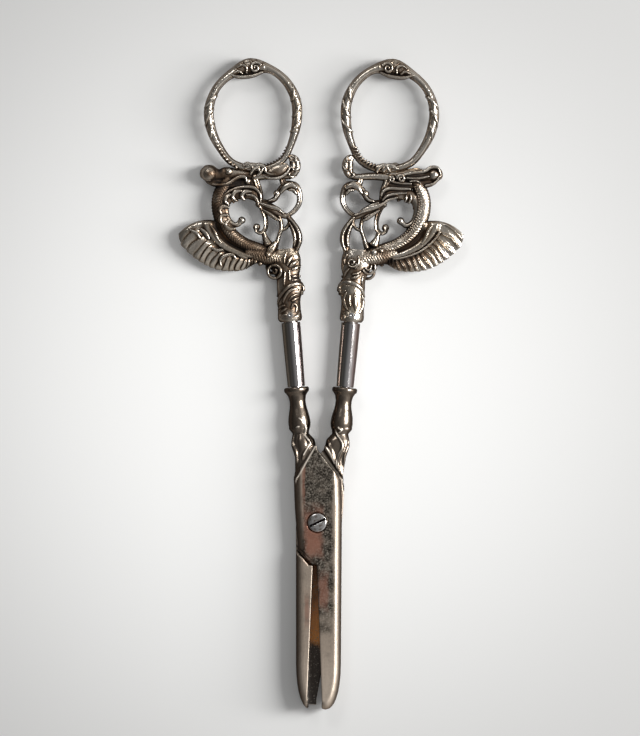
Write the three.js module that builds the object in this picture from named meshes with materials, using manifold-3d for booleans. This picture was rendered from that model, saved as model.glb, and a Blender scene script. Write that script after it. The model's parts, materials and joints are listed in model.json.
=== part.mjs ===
// Grape scissors: two arms, each a cast openwork handle on a round shaft above a stepped blade,
// crossing in a lap joint on one slotted screw. Millimetres, +Z up, +Y from the screw to the bows.
import * as THREE from 'three';
import { mergeVertices } from 'three/addons/utils/BufferGeometryUtils.js';
import Module from 'manifold-3d';

const wasm = await Module();
wasm.setup();

// Fits
const FIT_GAP = 0.3;
const SOCKET_GAP = 0.2;
const LAP_GAP = 0.2;

// How far each arm is turned from the closed pose, in degrees
const LEFT_OPENING = 2.0;
const RIGHT_OPENING = 2.35;
const PIVOT_OFFSET = 0.75;

// Closed pair of blades
const THICKNESS = 6.7;
const BLADE_LENGTH = 50;
const BLADE_SHIFT = -0.35;
const PLATE_HALF = 6.3;
const NOSE_HALF = 4.55;
const NOSE_LENGTH = 12;
const FLANK_WIDTH = 1.7;
const FLANK_DEPTH = 2.0;
const TAPER_START = 4;
const BLANK_HEADROOM = 5;

// Lap joint: peak of the plate, its heel, the meeting line of the blades and the cutting ledge
const PEAK_X = 0.8;
const PEAK_Y = 20.4;
const PEAK_SLOPE = 1.39;
const HEEL_X = 2.5;
const HEEL_Y = 11.2;
const HEEL_SLOPE = 1.14;
const MEETING_X = 1.25;
const LEDGE_X = 2.2;
const LEDGE_TIP_X = 0.7;
const LEDGE_TIP_SETBACK = 1.4;
const SHANK_PARTING = 0.2;

// Screw
const SCREW_HEAD_RADIUS = 2.5;
const SCREW_HEAD_HEIGHT = 1.2;
const SCREW_EDGE = 0.45;
const SCREW_BEARING_RADIUS = 1.6;
const SCREW_THREAD_RADIUS = 1.3;
const SCREW_SEAT_DEPTH = 0.35;
const SLOT_WIDTH = 0.55;
const SLOT_DEPTH = 0.6;
const SLOT_ANGLE = 28;

// Collar and shaft
const COLLAR_X = -5.1;
const COLLAR_Y = 36.2;
const COLLAR_RADIUS = 3.35;
const COLLAR_LENGTH = 11.8;
const COLLAR_BELLY = 2.95;
const COLLAR_WAIST = 2.15;
const SHAFT_TILT = 2.9;
const SHAFT_LENGTH = 17.6;
const SHAFT_FOOT_RADIUS = 2.3;
const SHAFT_HEAD_RADIUS = 2.5;
const FOOT_TENON_RADIUS = 1.3;
const FOOT_TENON_LENGTH = 6;
const HEAD_TENON_RADIUS = 1.9;
const HEAD_TENON_LENGTH = 8.5;
const PIN_RADIUS = 0.6;
const PIN_HEIGHT = 1.7;

// Handle casting
const KNUCKLE_RADIUS = 3.3;
const CASTING_DEPTH = 1.9;
const BOW_DEPTH = 1.5;
const WING_DEPTH = 1.5;
const WING_RIBS = 12;
const WING_EDGE_DEPTH = 0.7;
const RIB_HEIGHT = 0.4;

const ROUND_SIDES = 24;
const BAR_SIDES = 6;
const BOW_SIDES = 8;

const radians = THREE.MathUtils.degToRad;

// Solids from meshes and back

function solid(geometry) {
  const bare = new THREE.BufferGeometry();
  bare.setAttribute('position', geometry.getAttribute('position').clone());
  if (geometry.index) {
    bare.setIndex(geometry.index);
  }
  const welded = mergeVertices(bare, 1e-4);
  const corners = [];
  for (let i = 0; i < welded.index.count; i += 3) {
    const [a, b, c] = [0, 1, 2].map((k) => welded.index.getX(i + k));
    if (a !== b && b !== c && c !== a) {
      corners.push(a, b, c);
    }
  }
  return new wasm.Manifold(new wasm.Mesh({
    numProp: 3,
    vertProperties: Float32Array.from(welded.getAttribute('position').array),
    triVerts: Uint32Array.from(corners),
  }));
}

function surface(body) {
  const mesh = body.getMesh();
  const geometry = new THREE.BufferGeometry();
  geometry.setAttribute('position', new THREE.Float32BufferAttribute(mesh.vertProperties, 3));
  geometry.setIndex([...mesh.triVerts]);
  return geometry;
}

function joined(bodies) {
  return bodies.reduce((whole, body) => whole.add(body));
}

// A closed skin over a row of equal rings; an open row is capped at both ends.
function loft(rings, closed = false) {
  const sides = rings[0].length;
  const points = rings.flat();
  const index = [];
  const spans = closed ? rings.length : rings.length - 1;
  for (let i = 0; i < spans; i += 1) {
    const here = i * sides;
    const next = ((i + 1) % rings.length) * sides;
    for (let k = 0; k < sides; k += 1) {
      const m = (k + 1) % sides;
      index.push(here + k, here + m, next + m, here + k, next + m, next + k);
    }
  }
  if (!closed) {
    const end = (rings.length - 1) * sides;
    for (let k = 1; k < sides - 1; k += 1) {
      index.push(0, k + 1, k, end, end + k, end + k + 1);
    }
  }
  const geometry = new THREE.BufferGeometry().setFromPoints(points);
  geometry.setIndex(index);
  return geometry;
}

// A ring in the plane of `across` and +Z, with upright facets at its sides; a higher power squares
// the ellipse off.
function ring(x, y, across, halfWidth, halfDepth, power, sides) {
  const points = [];
  const widest = Math.cos(Math.PI / sides) ** (2 / power);
  for (let k = 0; k < sides; k += 1) {
    const angle = (2 * Math.PI * (k + 0.5)) / sides;
    const cos = Math.cos(angle);
    const sin = Math.sin(angle);
    const reach = (halfWidth / widest) * Math.sign(cos) * Math.abs(cos) ** (2 / power);
    const rise = halfDepth * Math.sign(sin) * Math.abs(sin) ** (2 / power);
    points.push(new THREE.Vector3(x + across.x * reach, y + across.y * reach, rise));
  }
  return points;
}

// A bar in the plane of the casting through [x, y, half-width] points.
function bar(points, depth, steps, { closed = false, grow = 0, sides = BAR_SIDES } = {}) {
  const path = points.map(([x, y, halfWidth]) => new THREE.Vector3(x, y, halfWidth));
  const curve = new THREE.CatmullRomCurve3(path, closed);
  const rings = [];
  const count = closed ? steps : steps + 1;
  for (let i = 0; i < count; i += 1) {
    const at = curve.getPoint(i / steps);
    const ahead = curve.getTangent(i / steps).setZ(0).normalize();
    const across = new THREE.Vector2(-ahead.y, ahead.x);
    rings.push(ring(at.x, at.y, across, at.z + grow, depth + grow, 2, sides));
  }
  return solid(loft(rings, closed));
}

function ball(x, y, radius) {
  return solid(new THREE.SphereGeometry(radius, 8, 5).rotateX(Math.PI / 2).translate(x, y, 0));
}

function prism(points, low, high) {
  const shape = new THREE.Shape(points.map(([x, y]) => new THREE.Vector2(x, y)));
  const geometry = new THREE.ExtrudeGeometry(shape, { depth: high - low, bevelEnabled: false });
  return solid(geometry.translate(0, 0, low));
}

// A turned body about the local +Y axis from [radius, height] points.
function turned(profile) {
  return new THREE.LatheGeometry(profile.map(([r, y]) => new THREE.Vector2(r, y)), ROUND_SIDES);
}

function crossHole(x, y, radius, low, high) {
  const hole = new THREE.CylinderGeometry(radius, radius, high - low, ROUND_SIDES);
  return solid(hole.rotateX(Math.PI / 2).translate(x, y, (low + high) / 2));
}

// Blades

const HALF = THICKNESS / 2;
const FAR = 70;
const WIDE = 3 * PLATE_HALF;
const TOP_OF_LAP = LAP_GAP / 2;

// The closed pair of blades as one chamfered bar with a rounded nose, peaked like a roof at the top.
function bladeBlank() {
  const noseY = -BLADE_LENGTH + NOSE_LENGTH;
  const nose = [NOSE_HALF * 0.94, noseY - NOSE_LENGTH * 0.5, NOSE_HALF * 0.66, -BLADE_LENGTH];
  const shape = new THREE.Shape();
  shape.moveTo(BLADE_SHIFT + PLATE_HALF, PEAK_Y + BLANK_HEADROOM);
  shape.lineTo(BLADE_SHIFT - PLATE_HALF, PEAK_Y + BLANK_HEADROOM);
  shape.lineTo(BLADE_SHIFT - PLATE_HALF, TAPER_START);
  shape.lineTo(BLADE_SHIFT - NOSE_HALF, noseY);
  shape.bezierCurveTo(
    BLADE_SHIFT - nose[0], nose[1], BLADE_SHIFT - nose[2], nose[3], BLADE_SHIFT, -BLADE_LENGTH,
  );
  shape.bezierCurveTo(
    BLADE_SHIFT + nose[2], nose[3], BLADE_SHIFT + nose[0], nose[1], BLADE_SHIFT + NOSE_HALF, noseY,
  );
  shape.lineTo(BLADE_SHIFT + PLATE_HALF, TAPER_START);
  const straight = THICKNESS - 2 * FLANK_DEPTH;
  const geometry = new THREE.ExtrudeGeometry(shape, {
    depth: straight,
    bevelEnabled: true,
    bevelThickness: FLANK_DEPTH,
    bevelSize: FLANK_WIDTH,
    bevelOffset: -FLANK_WIDTH,
    bevelSegments: 1,
    curveSegments: 7,
  });
  return solid(geometry.translate(0, 0, -straight / 2));
}

// Plan of the upper plate and its blade (side 1), or of the lower one seen from below (side -1).
function platePlan(side, inner) {
  const plan = [
    [-SHANK_PARTING, FAR],
    [-SHANK_PARTING, PEAK_Y - PEAK_SLOPE * (PEAK_X - SHANK_PARTING)],
    [WIDE, PEAK_Y - PEAK_SLOPE * (PEAK_X + WIDE)],
    [WIDE, -FAR],
    ...inner,
    [-HEEL_X, -HEEL_Y],
    [-WIDE, -HEEL_Y + HEEL_SLOPE * (WIDE - HEEL_X)],
    [-WIDE, FAR],
  ];
  return plan.map(([x, y]) => [x * side, y]);
}

// The room left for the other arm beside that plan: its shank above the roof line and its blade.
function restPlans(side, inner) {
  const roofGap = FIT_GAP * Math.hypot(1, PEAK_SLOPE);
  const heelGap = FIT_GAP * Math.hypot(1, HEEL_SLOPE);
  const shank = [
    [SHANK_PARTING, FAR],
    [SHANK_PARTING, PEAK_Y + roofGap - PEAK_SLOPE * (SHANK_PARTING + PEAK_X)],
    [WIDE, PEAK_Y + roofGap - PEAK_SLOPE * (WIDE + PEAK_X)],
    [WIDE, FAR],
  ];
  const step = -HEEL_Y - FIT_GAP;
  const corner = -HEEL_X - (heelGap - FIT_GAP) / HEEL_SLOPE;
  const blade = [
    ...inner,
    [inner[inner.length - 1][0], step],
    [corner, step],
    [-WIDE, -HEEL_Y - heelGap + HEEL_SLOPE * (WIDE - HEEL_X)],
    [-WIDE, -FAR],
  ];
  return [shank, blade].map((plan) => plan.map(([x, y]) => [x * side, y]));
}

// Shank of the left arm: [y, outer x, inner x, half-depth, squareness] up to the foot of the collar.
const SHANK = [
  [8.5, -6.0, 1.2, 2.6, 4],
  [11.5, -6.7, 1.2, 3.0, 4],
  [14, -6.2, 1.2, 3.05, 4],
  [17.5, -6.1, 0.9, 3.0, 4],
  [20.6, -7.0, -0.5, 3.0, 3],
  [22.2, -6.9, -0.8, 2.8, 2.6],
  [23.8, -6.5, -2.2, 2.4, 2.3],
  [25.2, -7.5, -2.0, 2.75, 2.2],
  [26.2, -6.9, -2.4, 2.2, 2],
];

// Collar from its foot to its mouth: [radius, share of its length below the mouth].
const COLLAR = [
  [0, -1], [0.75 * COLLAR_BELLY, -1], [0.97 * COLLAR_BELLY, -0.9], [COLLAR_BELLY, -0.78],
  [0.915 * COLLAR_BELLY, -0.63], [1.02 * COLLAR_WAIST, -0.44], [COLLAR_WAIST, -0.305],
  [1.14 * COLLAR_WAIST, -0.185], [0.925 * COLLAR_RADIUS, -0.11], [COLLAR_RADIUS, -0.08],
  [COLLAR_RADIUS, -0.025], [0.91 * COLLAR_RADIUS, 0], [0, 0],
];

function collarAxis(geometry) {
  return geometry.rotateZ(radians(SHAFT_TILT)).translate(COLLAR_X, COLLAR_Y, 0);
}

function shank() {
  const across = new THREE.Vector2(-1, 0);
  const rings = SHANK.map(([y, outer, inner, depth, power]) => (
    ring((outer + inner) / 2, y, across, (inner - outer) / 2, depth, power, 20)
  ));
  const collar = turned(COLLAR.map(([radius, height]) => [radius, height * COLLAR_LENGTH]));
  const bore = FOOT_TENON_RADIUS + SOCKET_GAP;
  const socket = turned([[0, -FOOT_TENON_LENGTH], [bore, -FOOT_TENON_LENGTH], [bore, 1], [0, 1]]);
  return solid(loft(rings)).add(solid(collarAxis(collar))).subtract(solid(collarAxis(socket)));
}

const ledge = [
  [-LEDGE_TIP_X, -FAR],
  [-LEDGE_TIP_X, -BLADE_LENGTH + LEDGE_TIP_SETBACK],
  [-LEDGE_X, -BLADE_LENGTH + NOSE_LENGTH],
];

// Inner edges of the two blades, from the nose up: meeting line above, ledge below.
function innerEdges(gap) {
  const meeting = [[-MEETING_X - gap, -FAR]];
  const step = ledge.map(([x, y]) => [x - gap, y]);
  return { meeting, step };
}

const blank = bladeBlank();
const leftShank = shank();
const rightShank = leftShank.rotate([0, 180, 0]);
const screwHole = (radius, low, high) => crossHole(-PIVOT_OFFSET, 0, radius, low, high);

function upperBlade() {
  const { meeting } = innerEdges(0);
  const { step } = innerEdges(FIT_GAP);
  const plate = [...meeting, [-MEETING_X, -HEEL_Y]];
  const above = prism(platePlan(1, plate), TOP_OF_LAP, FAR);
  const below = restPlans(-1, step).map((plan) => prism(plan, -FAR, 1));
  const body = blankUnder(leftShank, 1).intersect(joined([above, ...below]));
  const seat = screwHole(SCREW_HEAD_RADIUS + FIT_GAP, HALF - SCREW_SEAT_DEPTH, FAR);
  return body.subtract(screwHole(SCREW_BEARING_RADIUS + SOCKET_GAP, -FAR, FAR)).subtract(seat);
}

function lowerBlade() {
  const { meeting } = innerEdges(FIT_GAP);
  const plate = [
    [MEETING_X, -FAR],
    [MEETING_X, -BLADE_LENGTH + LEDGE_TIP_SETBACK],
    ...ledge.slice(1),
    [-LEDGE_X, -HEEL_Y],
  ];
  const below = prism(platePlan(-1, plate), -FAR, -TOP_OF_LAP);
  const above = restPlans(1, meeting).map((plan) => prism(plan, -1, FAR));
  const body = blankUnder(rightShank, -1).intersect(joined([below, ...above]));
  return body.subtract(screwHole(SCREW_THREAD_RADIUS + SOCKET_GAP, -FAR, FAR));
}

// The blank, roofed off on one side, with that side's shank growing out of it.
function blankUnder(arm, side) {
  const roof = [
    [-PEAK_X, PEAK_Y],
    [-WIDE, PEAK_Y - PEAK_SLOPE * (WIDE - PEAK_X)],
    [-WIDE, -FAR],
    [WIDE, -FAR],
    [WIDE, PEAK_Y],
  ];
  return blank.intersect(prism(roof.map(([x, y]) => [x * side, y]), -FAR, FAR)).add(arm);
}

function pivotScrew() {
  const head = HALF - SCREW_SEAT_DEPTH + SOCKET_GAP;
  const top = head + SCREW_HEAD_HEIGHT;
  const profile = turned([
    [0, -HALF], [SCREW_THREAD_RADIUS, -HALF], [SCREW_THREAD_RADIUS, TOP_OF_LAP],
    [SCREW_BEARING_RADIUS, TOP_OF_LAP], [SCREW_BEARING_RADIUS, head], [SCREW_HEAD_RADIUS, head],
    [SCREW_HEAD_RADIUS, top - SCREW_EDGE], [SCREW_HEAD_RADIUS - 0.8 * SCREW_EDGE, top - 0.2 * SCREW_EDGE],
    [0, top],
  ]);
  const slot = new THREE.BoxGeometry(3 * SCREW_HEAD_RADIUS, SLOT_WIDTH, 2 * SLOT_DEPTH);
  slot.rotateZ(radians(SLOT_ANGLE)).translate(0, 0, top);
  const body = solid(profile.rotateX(Math.PI / 2)).subtract(solid(slot));
  return body.translate([-PIVOT_OFFSET, 0, 0]);
}

// Shaft and pin, from the mouth of the collar

function shaft() {
  const foot = FIT_GAP;
  const head = SHAFT_LENGTH - FIT_GAP;
  const end = SHAFT_LENGTH + HEAD_TENON_LENGTH - FIT_GAP;
  const profile = turned([
    [0, -FOOT_TENON_LENGTH + FIT_GAP], [FOOT_TENON_RADIUS, -FOOT_TENON_LENGTH + FIT_GAP],
    [FOOT_TENON_RADIUS, foot], [SHAFT_FOOT_RADIUS, foot], [SHAFT_HEAD_RADIUS, head],
    [HEAD_TENON_RADIUS, head], [HEAD_TENON_RADIUS, end], [0, end],
  ]);
  const hole = crossHole(0, SHAFT_LENGTH + PIN_HEIGHT, PIN_RADIUS + SOCKET_GAP, -FAR, FAR);
  return solid(profile).subtract(hole);
}

function shaftPin() {
  const reach = 0.97 * KNUCKLE_RADIUS;
  return crossHole(0, PIN_HEIGHT, PIN_RADIUS, -reach, reach);
}

// Handle casting, from the mouth of the knuckle: bars as [x, y, half-width]

const BOW = [
  [-5.0, 68.5, 2.5], [-9.8, 67.3, 1.35], [-14.4, 63.7, 1.15], [-16.9, 58.2, 1.35], [-16.7, 52.6, 1.35],
  [-14.8, 47.6, 1.05], [-12.1, 43.7, 0.95], [-7.4, 41.6, 0.95], [-2.5, 41.3, 0.9], [1.6, 43.1, 0.85],
  [4.2, 47.3, 0.95], [6.1, 52.8, 1.35], [6.4, 58.6, 1.4], [4.2, 63.9, 1.25], [0.2, 67.5, 1.25],
];

const NECK_BAND = [
  [-3.6, 18.2, 1.7], [-7.0, 19.9, 1.7], [-10.6, 21.6, 1.75], [-13.6, 24.1, 1.85], [-15.6, 27.6, 1.9],
  [-16.4, 31.2, 1.95], [-16.1, 34.5, 1.9], [-14.8, 37.3, 1.75], [-13.2, 39.2, 1.2],
];
const HEAD = [
  [-5.0, 39.6, 1.1], [-9.5, 39.9, 1.4], [-12.8, 40.2, 1.8], [-15.6, 40.6, 2.0], [-18.2, 41.1, 2.45],
  [-20.2, 41.5, 1.5],
];
const JAW = [
  [-6.6, 37.8, 1.3], [-11.6, 37.8, 1.3], [-15.1, 38.2, 1.2], [-17.9, 39.0, 1.0], [-19.6, 40.4, 0.5],
];
const C_SCROLL = [
  [-10.7, 28.0, 0.7], [-12.2, 26.8, 0.5], [-14.1, 27.7, 0.75], [-15.0, 29.9, 1.1], [-15.0, 32.3, 1.35],
  [-13.9, 34.2, 1.6], [-12.0, 35.1, 1.7], [-9.4, 35.3, 1.75], [-7.0, 34.7, 1.55], [-5.4, 33.2, 1.0],
];
const S_SCROLL = [
  [-6.5, 33.9, 0.7], [-5.7, 31.9, 0.75], [-4.7, 29.5, 0.65], [-4.3, 27.1, 0.6], [-4.7, 25.1, 0.6],
  [-5.9, 24.2, 0.55], [-7.0, 24.8, 0.55], [-6.9, 26.0, 0.8],
];
const SPUR = [[-5.4, 24.5, 0.5], [-5.3, 21.4, 0.7]];
const LEAF = [[-6.0, 32.2, 1.0], [-3.8, 30.9, 1.3], [-1.7, 29.6, 1.25], [0.2, 28.5, 0.9], [1.9, 27.7, 0.6]];
const DIAGONAL = [
  [-5.8, 32.9, 0.7], [-3.4, 32.3, 0.6], [-1.5, 32.9, 0.7], [-0.3, 34.5, 0.8], [1.0, 35.8, 0.9],
  [2.6, 36.5, 0.8],
];
const SIDE_LOOP = [
  [0.9, 38.8, 0.7], [1.2, 37.1, 0.9], [2.6, 36.2, 1.3], [4.2, 35.6, 1.2], [5.2, 33.6, 0.8], [4.9, 31.2, 0.7],
  [3.3, 29.2, 0.65], [1.2, 28.0, 0.55],
];
const SIDE_LEAF = [
  [1.6, 28.2, 0.6], [2.6, 26.0, 1.0], [3.5, 23.7, 1.3], [3.7, 21.4, 1.25], [3.0, 19.3, 1.0], [2.3, 17.0, 1.0],
];
const TENDRIL = [
  [-1.1, 29.3, 0.5], [-0.3, 26.9, 0.5], [-0.2, 24.9, 0.5], [-1.0, 23.0, 0.5], [-2.4, 20.0, 0.7],
];
const TWIG = [[1.8, 27.8, 0.45], [1.9, 26.1, 0.5], [1.0, 25.0, 0.5], [-0.4, 24.4, 0.45]];
const RAIL = [[-6.5, 39.2, 1.0], [-4.0, 39.3, 1.0], [-1.5, 39.1, 1.0], [1.0, 38.7, 0.9], [3.1, 38.5, 0.8]];
const EAR = [[2.3, 38.5, 0.8], [4.2, 39.4, 1.0], [4.8, 41.2, 1.15], [4.7, 42.8, 1.0], [4.0, 43.8, 0.6]];
const POST = [[-6.4, 39.2, 1.0], [-5.9, 37.4, 0.9], [-5.3, 35.4, 0.8], [-5.2, 33.1, 0.7]];
const CHEST = [[-0.2, 16.5, 2.2], [-4.1, 17.7, 2.5], [-7.4, 18.4, 2.2], [-10.2, 19.3, 1.5]];

const WING_ROOT = [[-7.7, 19.0], [-11.4, 21.0], [-14.7, 23.5], [-16.5, 26.2], [-17.0, 28.6]];
const WING_EDGE = [
  [-8.3, 15.9], [-11.2, 14.7], [-15.0, 14.7], [-19.2, 15.8], [-23.3, 18.5], [-26.5, 22.0], [-28.6, 25.8],
];

// Foliate knuckle: [x, y, half-width, half-depth] up the shaft axis.
const KNUCKLE = [
  [0, 0, 0.88, 0.88], [-0.1, 0.8, 1, 1], [-0.1, 3.2, 0.98, 1], [0.1, 5.8, 0.97, 0.98], [0.6, 8.8, 1.14, 1],
  [0.2, 11.7, 1.0, 0.95], [0, 14.2, 1.24, 0.92], [-0.2, 17.3, 1.32, 0.8], [0, 19.7, 1.0, 0.65],
];

// Balls at the ends of the scrolls and the volute at the knuckle: [x, y, radius].
const BALLS = [[-10.7, 28.0, 1.0], [-6.9, 25.8, 1.0], [-0.7, 34.3, 0.9]];
const VOLUTE = [-3.2, 13.6, 2.1];

function fingerBow(grow = 0) {
  return bar(BOW, BOW_DEPTH, 44, { closed: true, grow, sides: BOW_SIDES });
}

function knuckle() {
  const across = new THREE.Vector2(-1, 0);
  const rings = KNUCKLE.map(([x, y, width, depth]) => (
    ring(x, y, across, width * KNUCKLE_RADIUS, depth * KNUCKLE_RADIUS, 2, 16)
  ));
  const volute = crossHole(...VOLUTE, -0.8 * KNUCKLE_RADIUS, 0.8 * KNUCKLE_RADIUS);
  return solid(loft(rings)).add(volute);
}

// The wing: ribs fanned from the neck to a scalloped edge, alike on both faces.
function wing() {
  const line = (points) => new THREE.CatmullRomCurve3(points.map(([x, y]) => new THREE.Vector3(x, y, 0)));
  const root = line(WING_ROOT);
  const edge = line(WING_EDGE);
  const rings = [];
  for (let i = 0; i <= 2 * WING_RIBS; i += 1) {
    const along = i / (2 * WING_RIBS);
    const crest = i % 2;
    const from = root.getPoint(along);
    const to = edge.getPoint(along);
    const out = to.clone().sub(from);
    const bulge = new THREE.Vector3(-out.y, out.x, 0).multiplyScalar(-0.14 * along);
    const upper = [];
    for (let j = 0; j <= 3; j += 1) {
      const t = (j / 3) * (crest ? 1.04 : 1);
      const at = from.clone().addScaledVector(out, t).addScaledVector(bulge, 4 * t * (1 - t));
      at.z = THREE.MathUtils.lerp(WING_DEPTH, WING_EDGE_DEPTH, t) + (crest ? RIB_HEIGHT * t : 0);
      upper.push(at);
    }
    const lower = upper.map((p) => new THREE.Vector3(p.x, p.y, -p.z));
    rings.push([...lower, ...upper.reverse()]);
  }
  return solid(loft(rings));
}

function scrollHandle() {
  const body = joined([
    knuckle(),
    wing(),
    bar(CHEST, 1.25 * CASTING_DEPTH, 8),
    bar(NECK_BAND, CASTING_DEPTH, 16),
    bar(HEAD, CASTING_DEPTH, 12),
    bar(JAW, 0.8 * CASTING_DEPTH, 10),
    bar(C_SCROLL, 0.85 * CASTING_DEPTH, 16),
    bar(S_SCROLL, 0.75 * CASTING_DEPTH, 16),
    bar(SPUR, 0.6 * CASTING_DEPTH, 2),
    bar(LEAF, 0.75 * CASTING_DEPTH, 8),
    bar(DIAGONAL, 0.6 * CASTING_DEPTH, 8),
    bar(SIDE_LOOP, 0.7 * CASTING_DEPTH, 14),
    bar(SIDE_LEAF, 0.8 * CASTING_DEPTH, 10),
    bar(TENDRIL, 0.6 * CASTING_DEPTH, 8),
    bar(TWIG, 0.5 * CASTING_DEPTH, 5),
    bar(RAIL, 0.8 * CASTING_DEPTH, 6),
    bar(EAR, 0.8 * CASTING_DEPTH, 10),
    bar(POST, 0.75 * CASTING_DEPTH, 6),
    ...BALLS.map((place) => ball(...place)),
  ]);
  const bore = HEAD_TENON_RADIUS + SOCKET_GAP;
  const socket = turned([[0, -1], [bore, -1], [bore, HEAD_TENON_LENGTH], [0, HEAD_TENON_LENGTH]]);
  const pinHole = crossHole(0, PIN_HEIGHT, PIN_RADIUS + SOCKET_GAP, -FAR, FAR);
  return body.subtract(solid(socket)).subtract(pinHole).subtract(fingerBow(FIT_GAP));
}

// Assembly

const plated = new THREE.MeshStandardMaterial({ color: 0xb9b2aa, metalness: 0.9, roughness: 0.35 });
const polished = new THREE.MeshStandardMaterial({ color: 0xd8d4cf, metalness: 1.0, roughness: 0.2 });
const steel = new THREE.MeshStandardMaterial({ color: 0x8d8680, metalness: 0.9, roughness: 0.5 });

function piece(name, geometry, material) {
  const mesh = new THREE.Mesh(geometry, material);
  mesh.name = name;
  return mesh;
}

function handle(side, shapes) {
  const grip = new THREE.Group();
  grip.position.y = SHAFT_LENGTH;
  grip.add(piece(`${side}_finger_bow`, shapes.bow, plated));
  grip.add(piece(`${side}_scroll_handle`, shapes.scroll, plated));
  grip.add(piece(`${side}_shaft_pin`, shapes.pin, steel));
  const stem = new THREE.Group();
  stem.position.set(COLLAR_X, COLLAR_Y, 0);
  stem.rotation.z = radians(SHAFT_TILT);
  stem.add(piece(`${side}_shaft`, shapes.shaft, polished), grip);
  return stem;
}

function arm(opening, pieces) {
  const closed = new THREE.Group();
  closed.position.set(PIVOT_OFFSET, 0, HALF);
  closed.add(...pieces);
  const opened = new THREE.Group();
  opened.rotation.z = radians(opening);
  opened.add(closed);
  return opened;
}

const shapes = {
  bow: surface(fingerBow()),
  scroll: surface(scrollHandle()),
  pin: surface(shaftPin()),
  shaft: surface(shaft()),
};
const turnedOver = handle('right', shapes);
const overturn = new THREE.Group();
overturn.rotation.y = Math.PI;
overturn.add(turnedOver);

const scissors = new THREE.Group();
scissors.name = 'grape_scissors';
scissors.add(arm(LEFT_OPENING, [
  piece('upper_blade', surface(upperBlade()), plated),
  handle('left', shapes),
]));
scissors.add(arm(-RIGHT_OPENING, [
  piece('lower_blade', surface(lowerBlade()), plated),
  piece('pivot_screw', surface(pivotScrew()), steel),
  overturn,
]));

export default scissors;
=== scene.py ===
"""Looks of a pair of table scissors for grapes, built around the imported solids.

Two castings of openwork foliage carry the finger bows. Round shafts join them to a lapped pair of
blunt-nosed blades on a slotted screw. Shapes are in millimetres until a piece is set in its place.
"""

import itertools
import json
import logging
import math
from dataclasses import dataclass, field
from enum import Enum
from functools import cache, partial
from typing import Any, Callable, Sequence

import bmesh
import bpy
import numpy as np
from mathutils import Matrix, Vector
from mathutils.bvhtree import BVHTree

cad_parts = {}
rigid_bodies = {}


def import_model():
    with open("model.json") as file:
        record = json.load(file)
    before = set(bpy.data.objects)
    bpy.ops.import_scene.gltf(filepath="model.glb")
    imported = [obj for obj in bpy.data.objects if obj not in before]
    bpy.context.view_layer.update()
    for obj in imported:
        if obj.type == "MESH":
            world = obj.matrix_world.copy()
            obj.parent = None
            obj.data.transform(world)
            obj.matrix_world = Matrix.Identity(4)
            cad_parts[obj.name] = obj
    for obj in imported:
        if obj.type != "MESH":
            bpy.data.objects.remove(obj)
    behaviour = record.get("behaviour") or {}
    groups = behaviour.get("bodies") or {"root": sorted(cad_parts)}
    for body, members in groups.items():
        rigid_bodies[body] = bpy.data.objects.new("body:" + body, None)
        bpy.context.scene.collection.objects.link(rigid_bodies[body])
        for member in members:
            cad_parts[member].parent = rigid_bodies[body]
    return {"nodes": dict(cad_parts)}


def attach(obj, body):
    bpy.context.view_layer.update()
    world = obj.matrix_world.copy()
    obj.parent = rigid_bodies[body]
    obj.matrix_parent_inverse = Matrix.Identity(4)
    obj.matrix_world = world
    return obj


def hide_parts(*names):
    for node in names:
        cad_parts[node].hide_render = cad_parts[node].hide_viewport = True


LOG = logging.getLogger("grape_scissors")
MM = 0.001

# Values that the meshes store for their corners
# Shelter of a corner, where tarnish gathers, with painted shade added on upright flanks and along the blades'
# heel, and spots that darken or lighten the castings
TARNISH_AND_SHADE = "hollow"
FACING = "facing"
# Painted highlights along the folds of the blades' shanks
PAINTED_HIGHLIGHT = "gleam"

# Sizes that several pieces share, in millimetres and degrees
HALF_THICKNESS = 3.35
PIVOT_OFFSET = 0.75
COLLAR_MOUTH = (-5.1, 36.2)
SHAFT_LEAN = 2.9
SHAFT_LENGTH = 17.6
PIN_HEIGHT = 1.7
PIN_BORE = 0.75

# Half-depth of the castings' heavier bars, length of a pebble of their tooling, and how far the rounded
# ends of a bar stand out in half-widths
CAST_DEPTH = 1.85
PEBBLE = 0.7
BLUNT = 0.6

# Angles past which an edge is sharp: on castings, on turned pieces and on the softened blades
CAST_CREASE = 50.0
TURNED_CREASE = 40.0
NO_CREASE = 180.0

Point = tuple[float, ...]
Run = tuple[Point, ...]
Colour = tuple[float, float, float]
Palette = tuple[tuple[float, Colour], ...]
Array = np.ndarray
Height = Callable[[Array, Array], Array]
Thing = bpy.types.Object
Mesh = bpy.types.Mesh
Material = bpy.types.Material
NodeTree = bpy.types.NodeTree
Node = bpy.types.Node
Socket = bpy.types.NodeSocket


class Relief(Enum):
    """Tooling on the skin of a bar."""

    PLAIN = "plain"
    VEINED = "veined"
    PEBBLED = "pebbled"


class Face(Enum):
    """The two faces of the handle casting: the one on show on the left arm and its back."""

    FRONT = 1
    BACK = -1


class Merge(Enum):
    """Ways to bring solids together."""

    JOIN = "UNION"
    CUT = "DIFFERENCE"


class Side(Enum):
    """The two arms by the side that their handle lies on."""

    LEFT = "left"
    RIGHT = "right"

    def turn(self) -> Matrix:
        """Turn of the arm's own shapes: the right arm's are those of the left one, turned over."""
        return Matrix.Rotation(math.pi if self is Side.RIGHT else 0.0, 4, "Y")

    def stem(self, place: Matrix) -> Matrix:
        """Place of what stands on the shaft's axis, from the mouth of the collar."""
        lean = Matrix.Rotation(math.radians(SHAFT_LEAN), 4, "Z")
        return place @ self.turn() @ Matrix.Translation((*COLLAR_MOUTH, 0)) @ lean


# Shapes


def linked(name: str, data: Any) -> Thing:
    """Makes an object in the scene.

    Args:
        name: Name of the object.
        data: Its mesh, lamp or camera.

    Returns:
        The object.
    """
    made = bpy.data.objects.new(name, data)
    bpy.context.scene.collection.objects.link(made)
    return made


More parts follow.
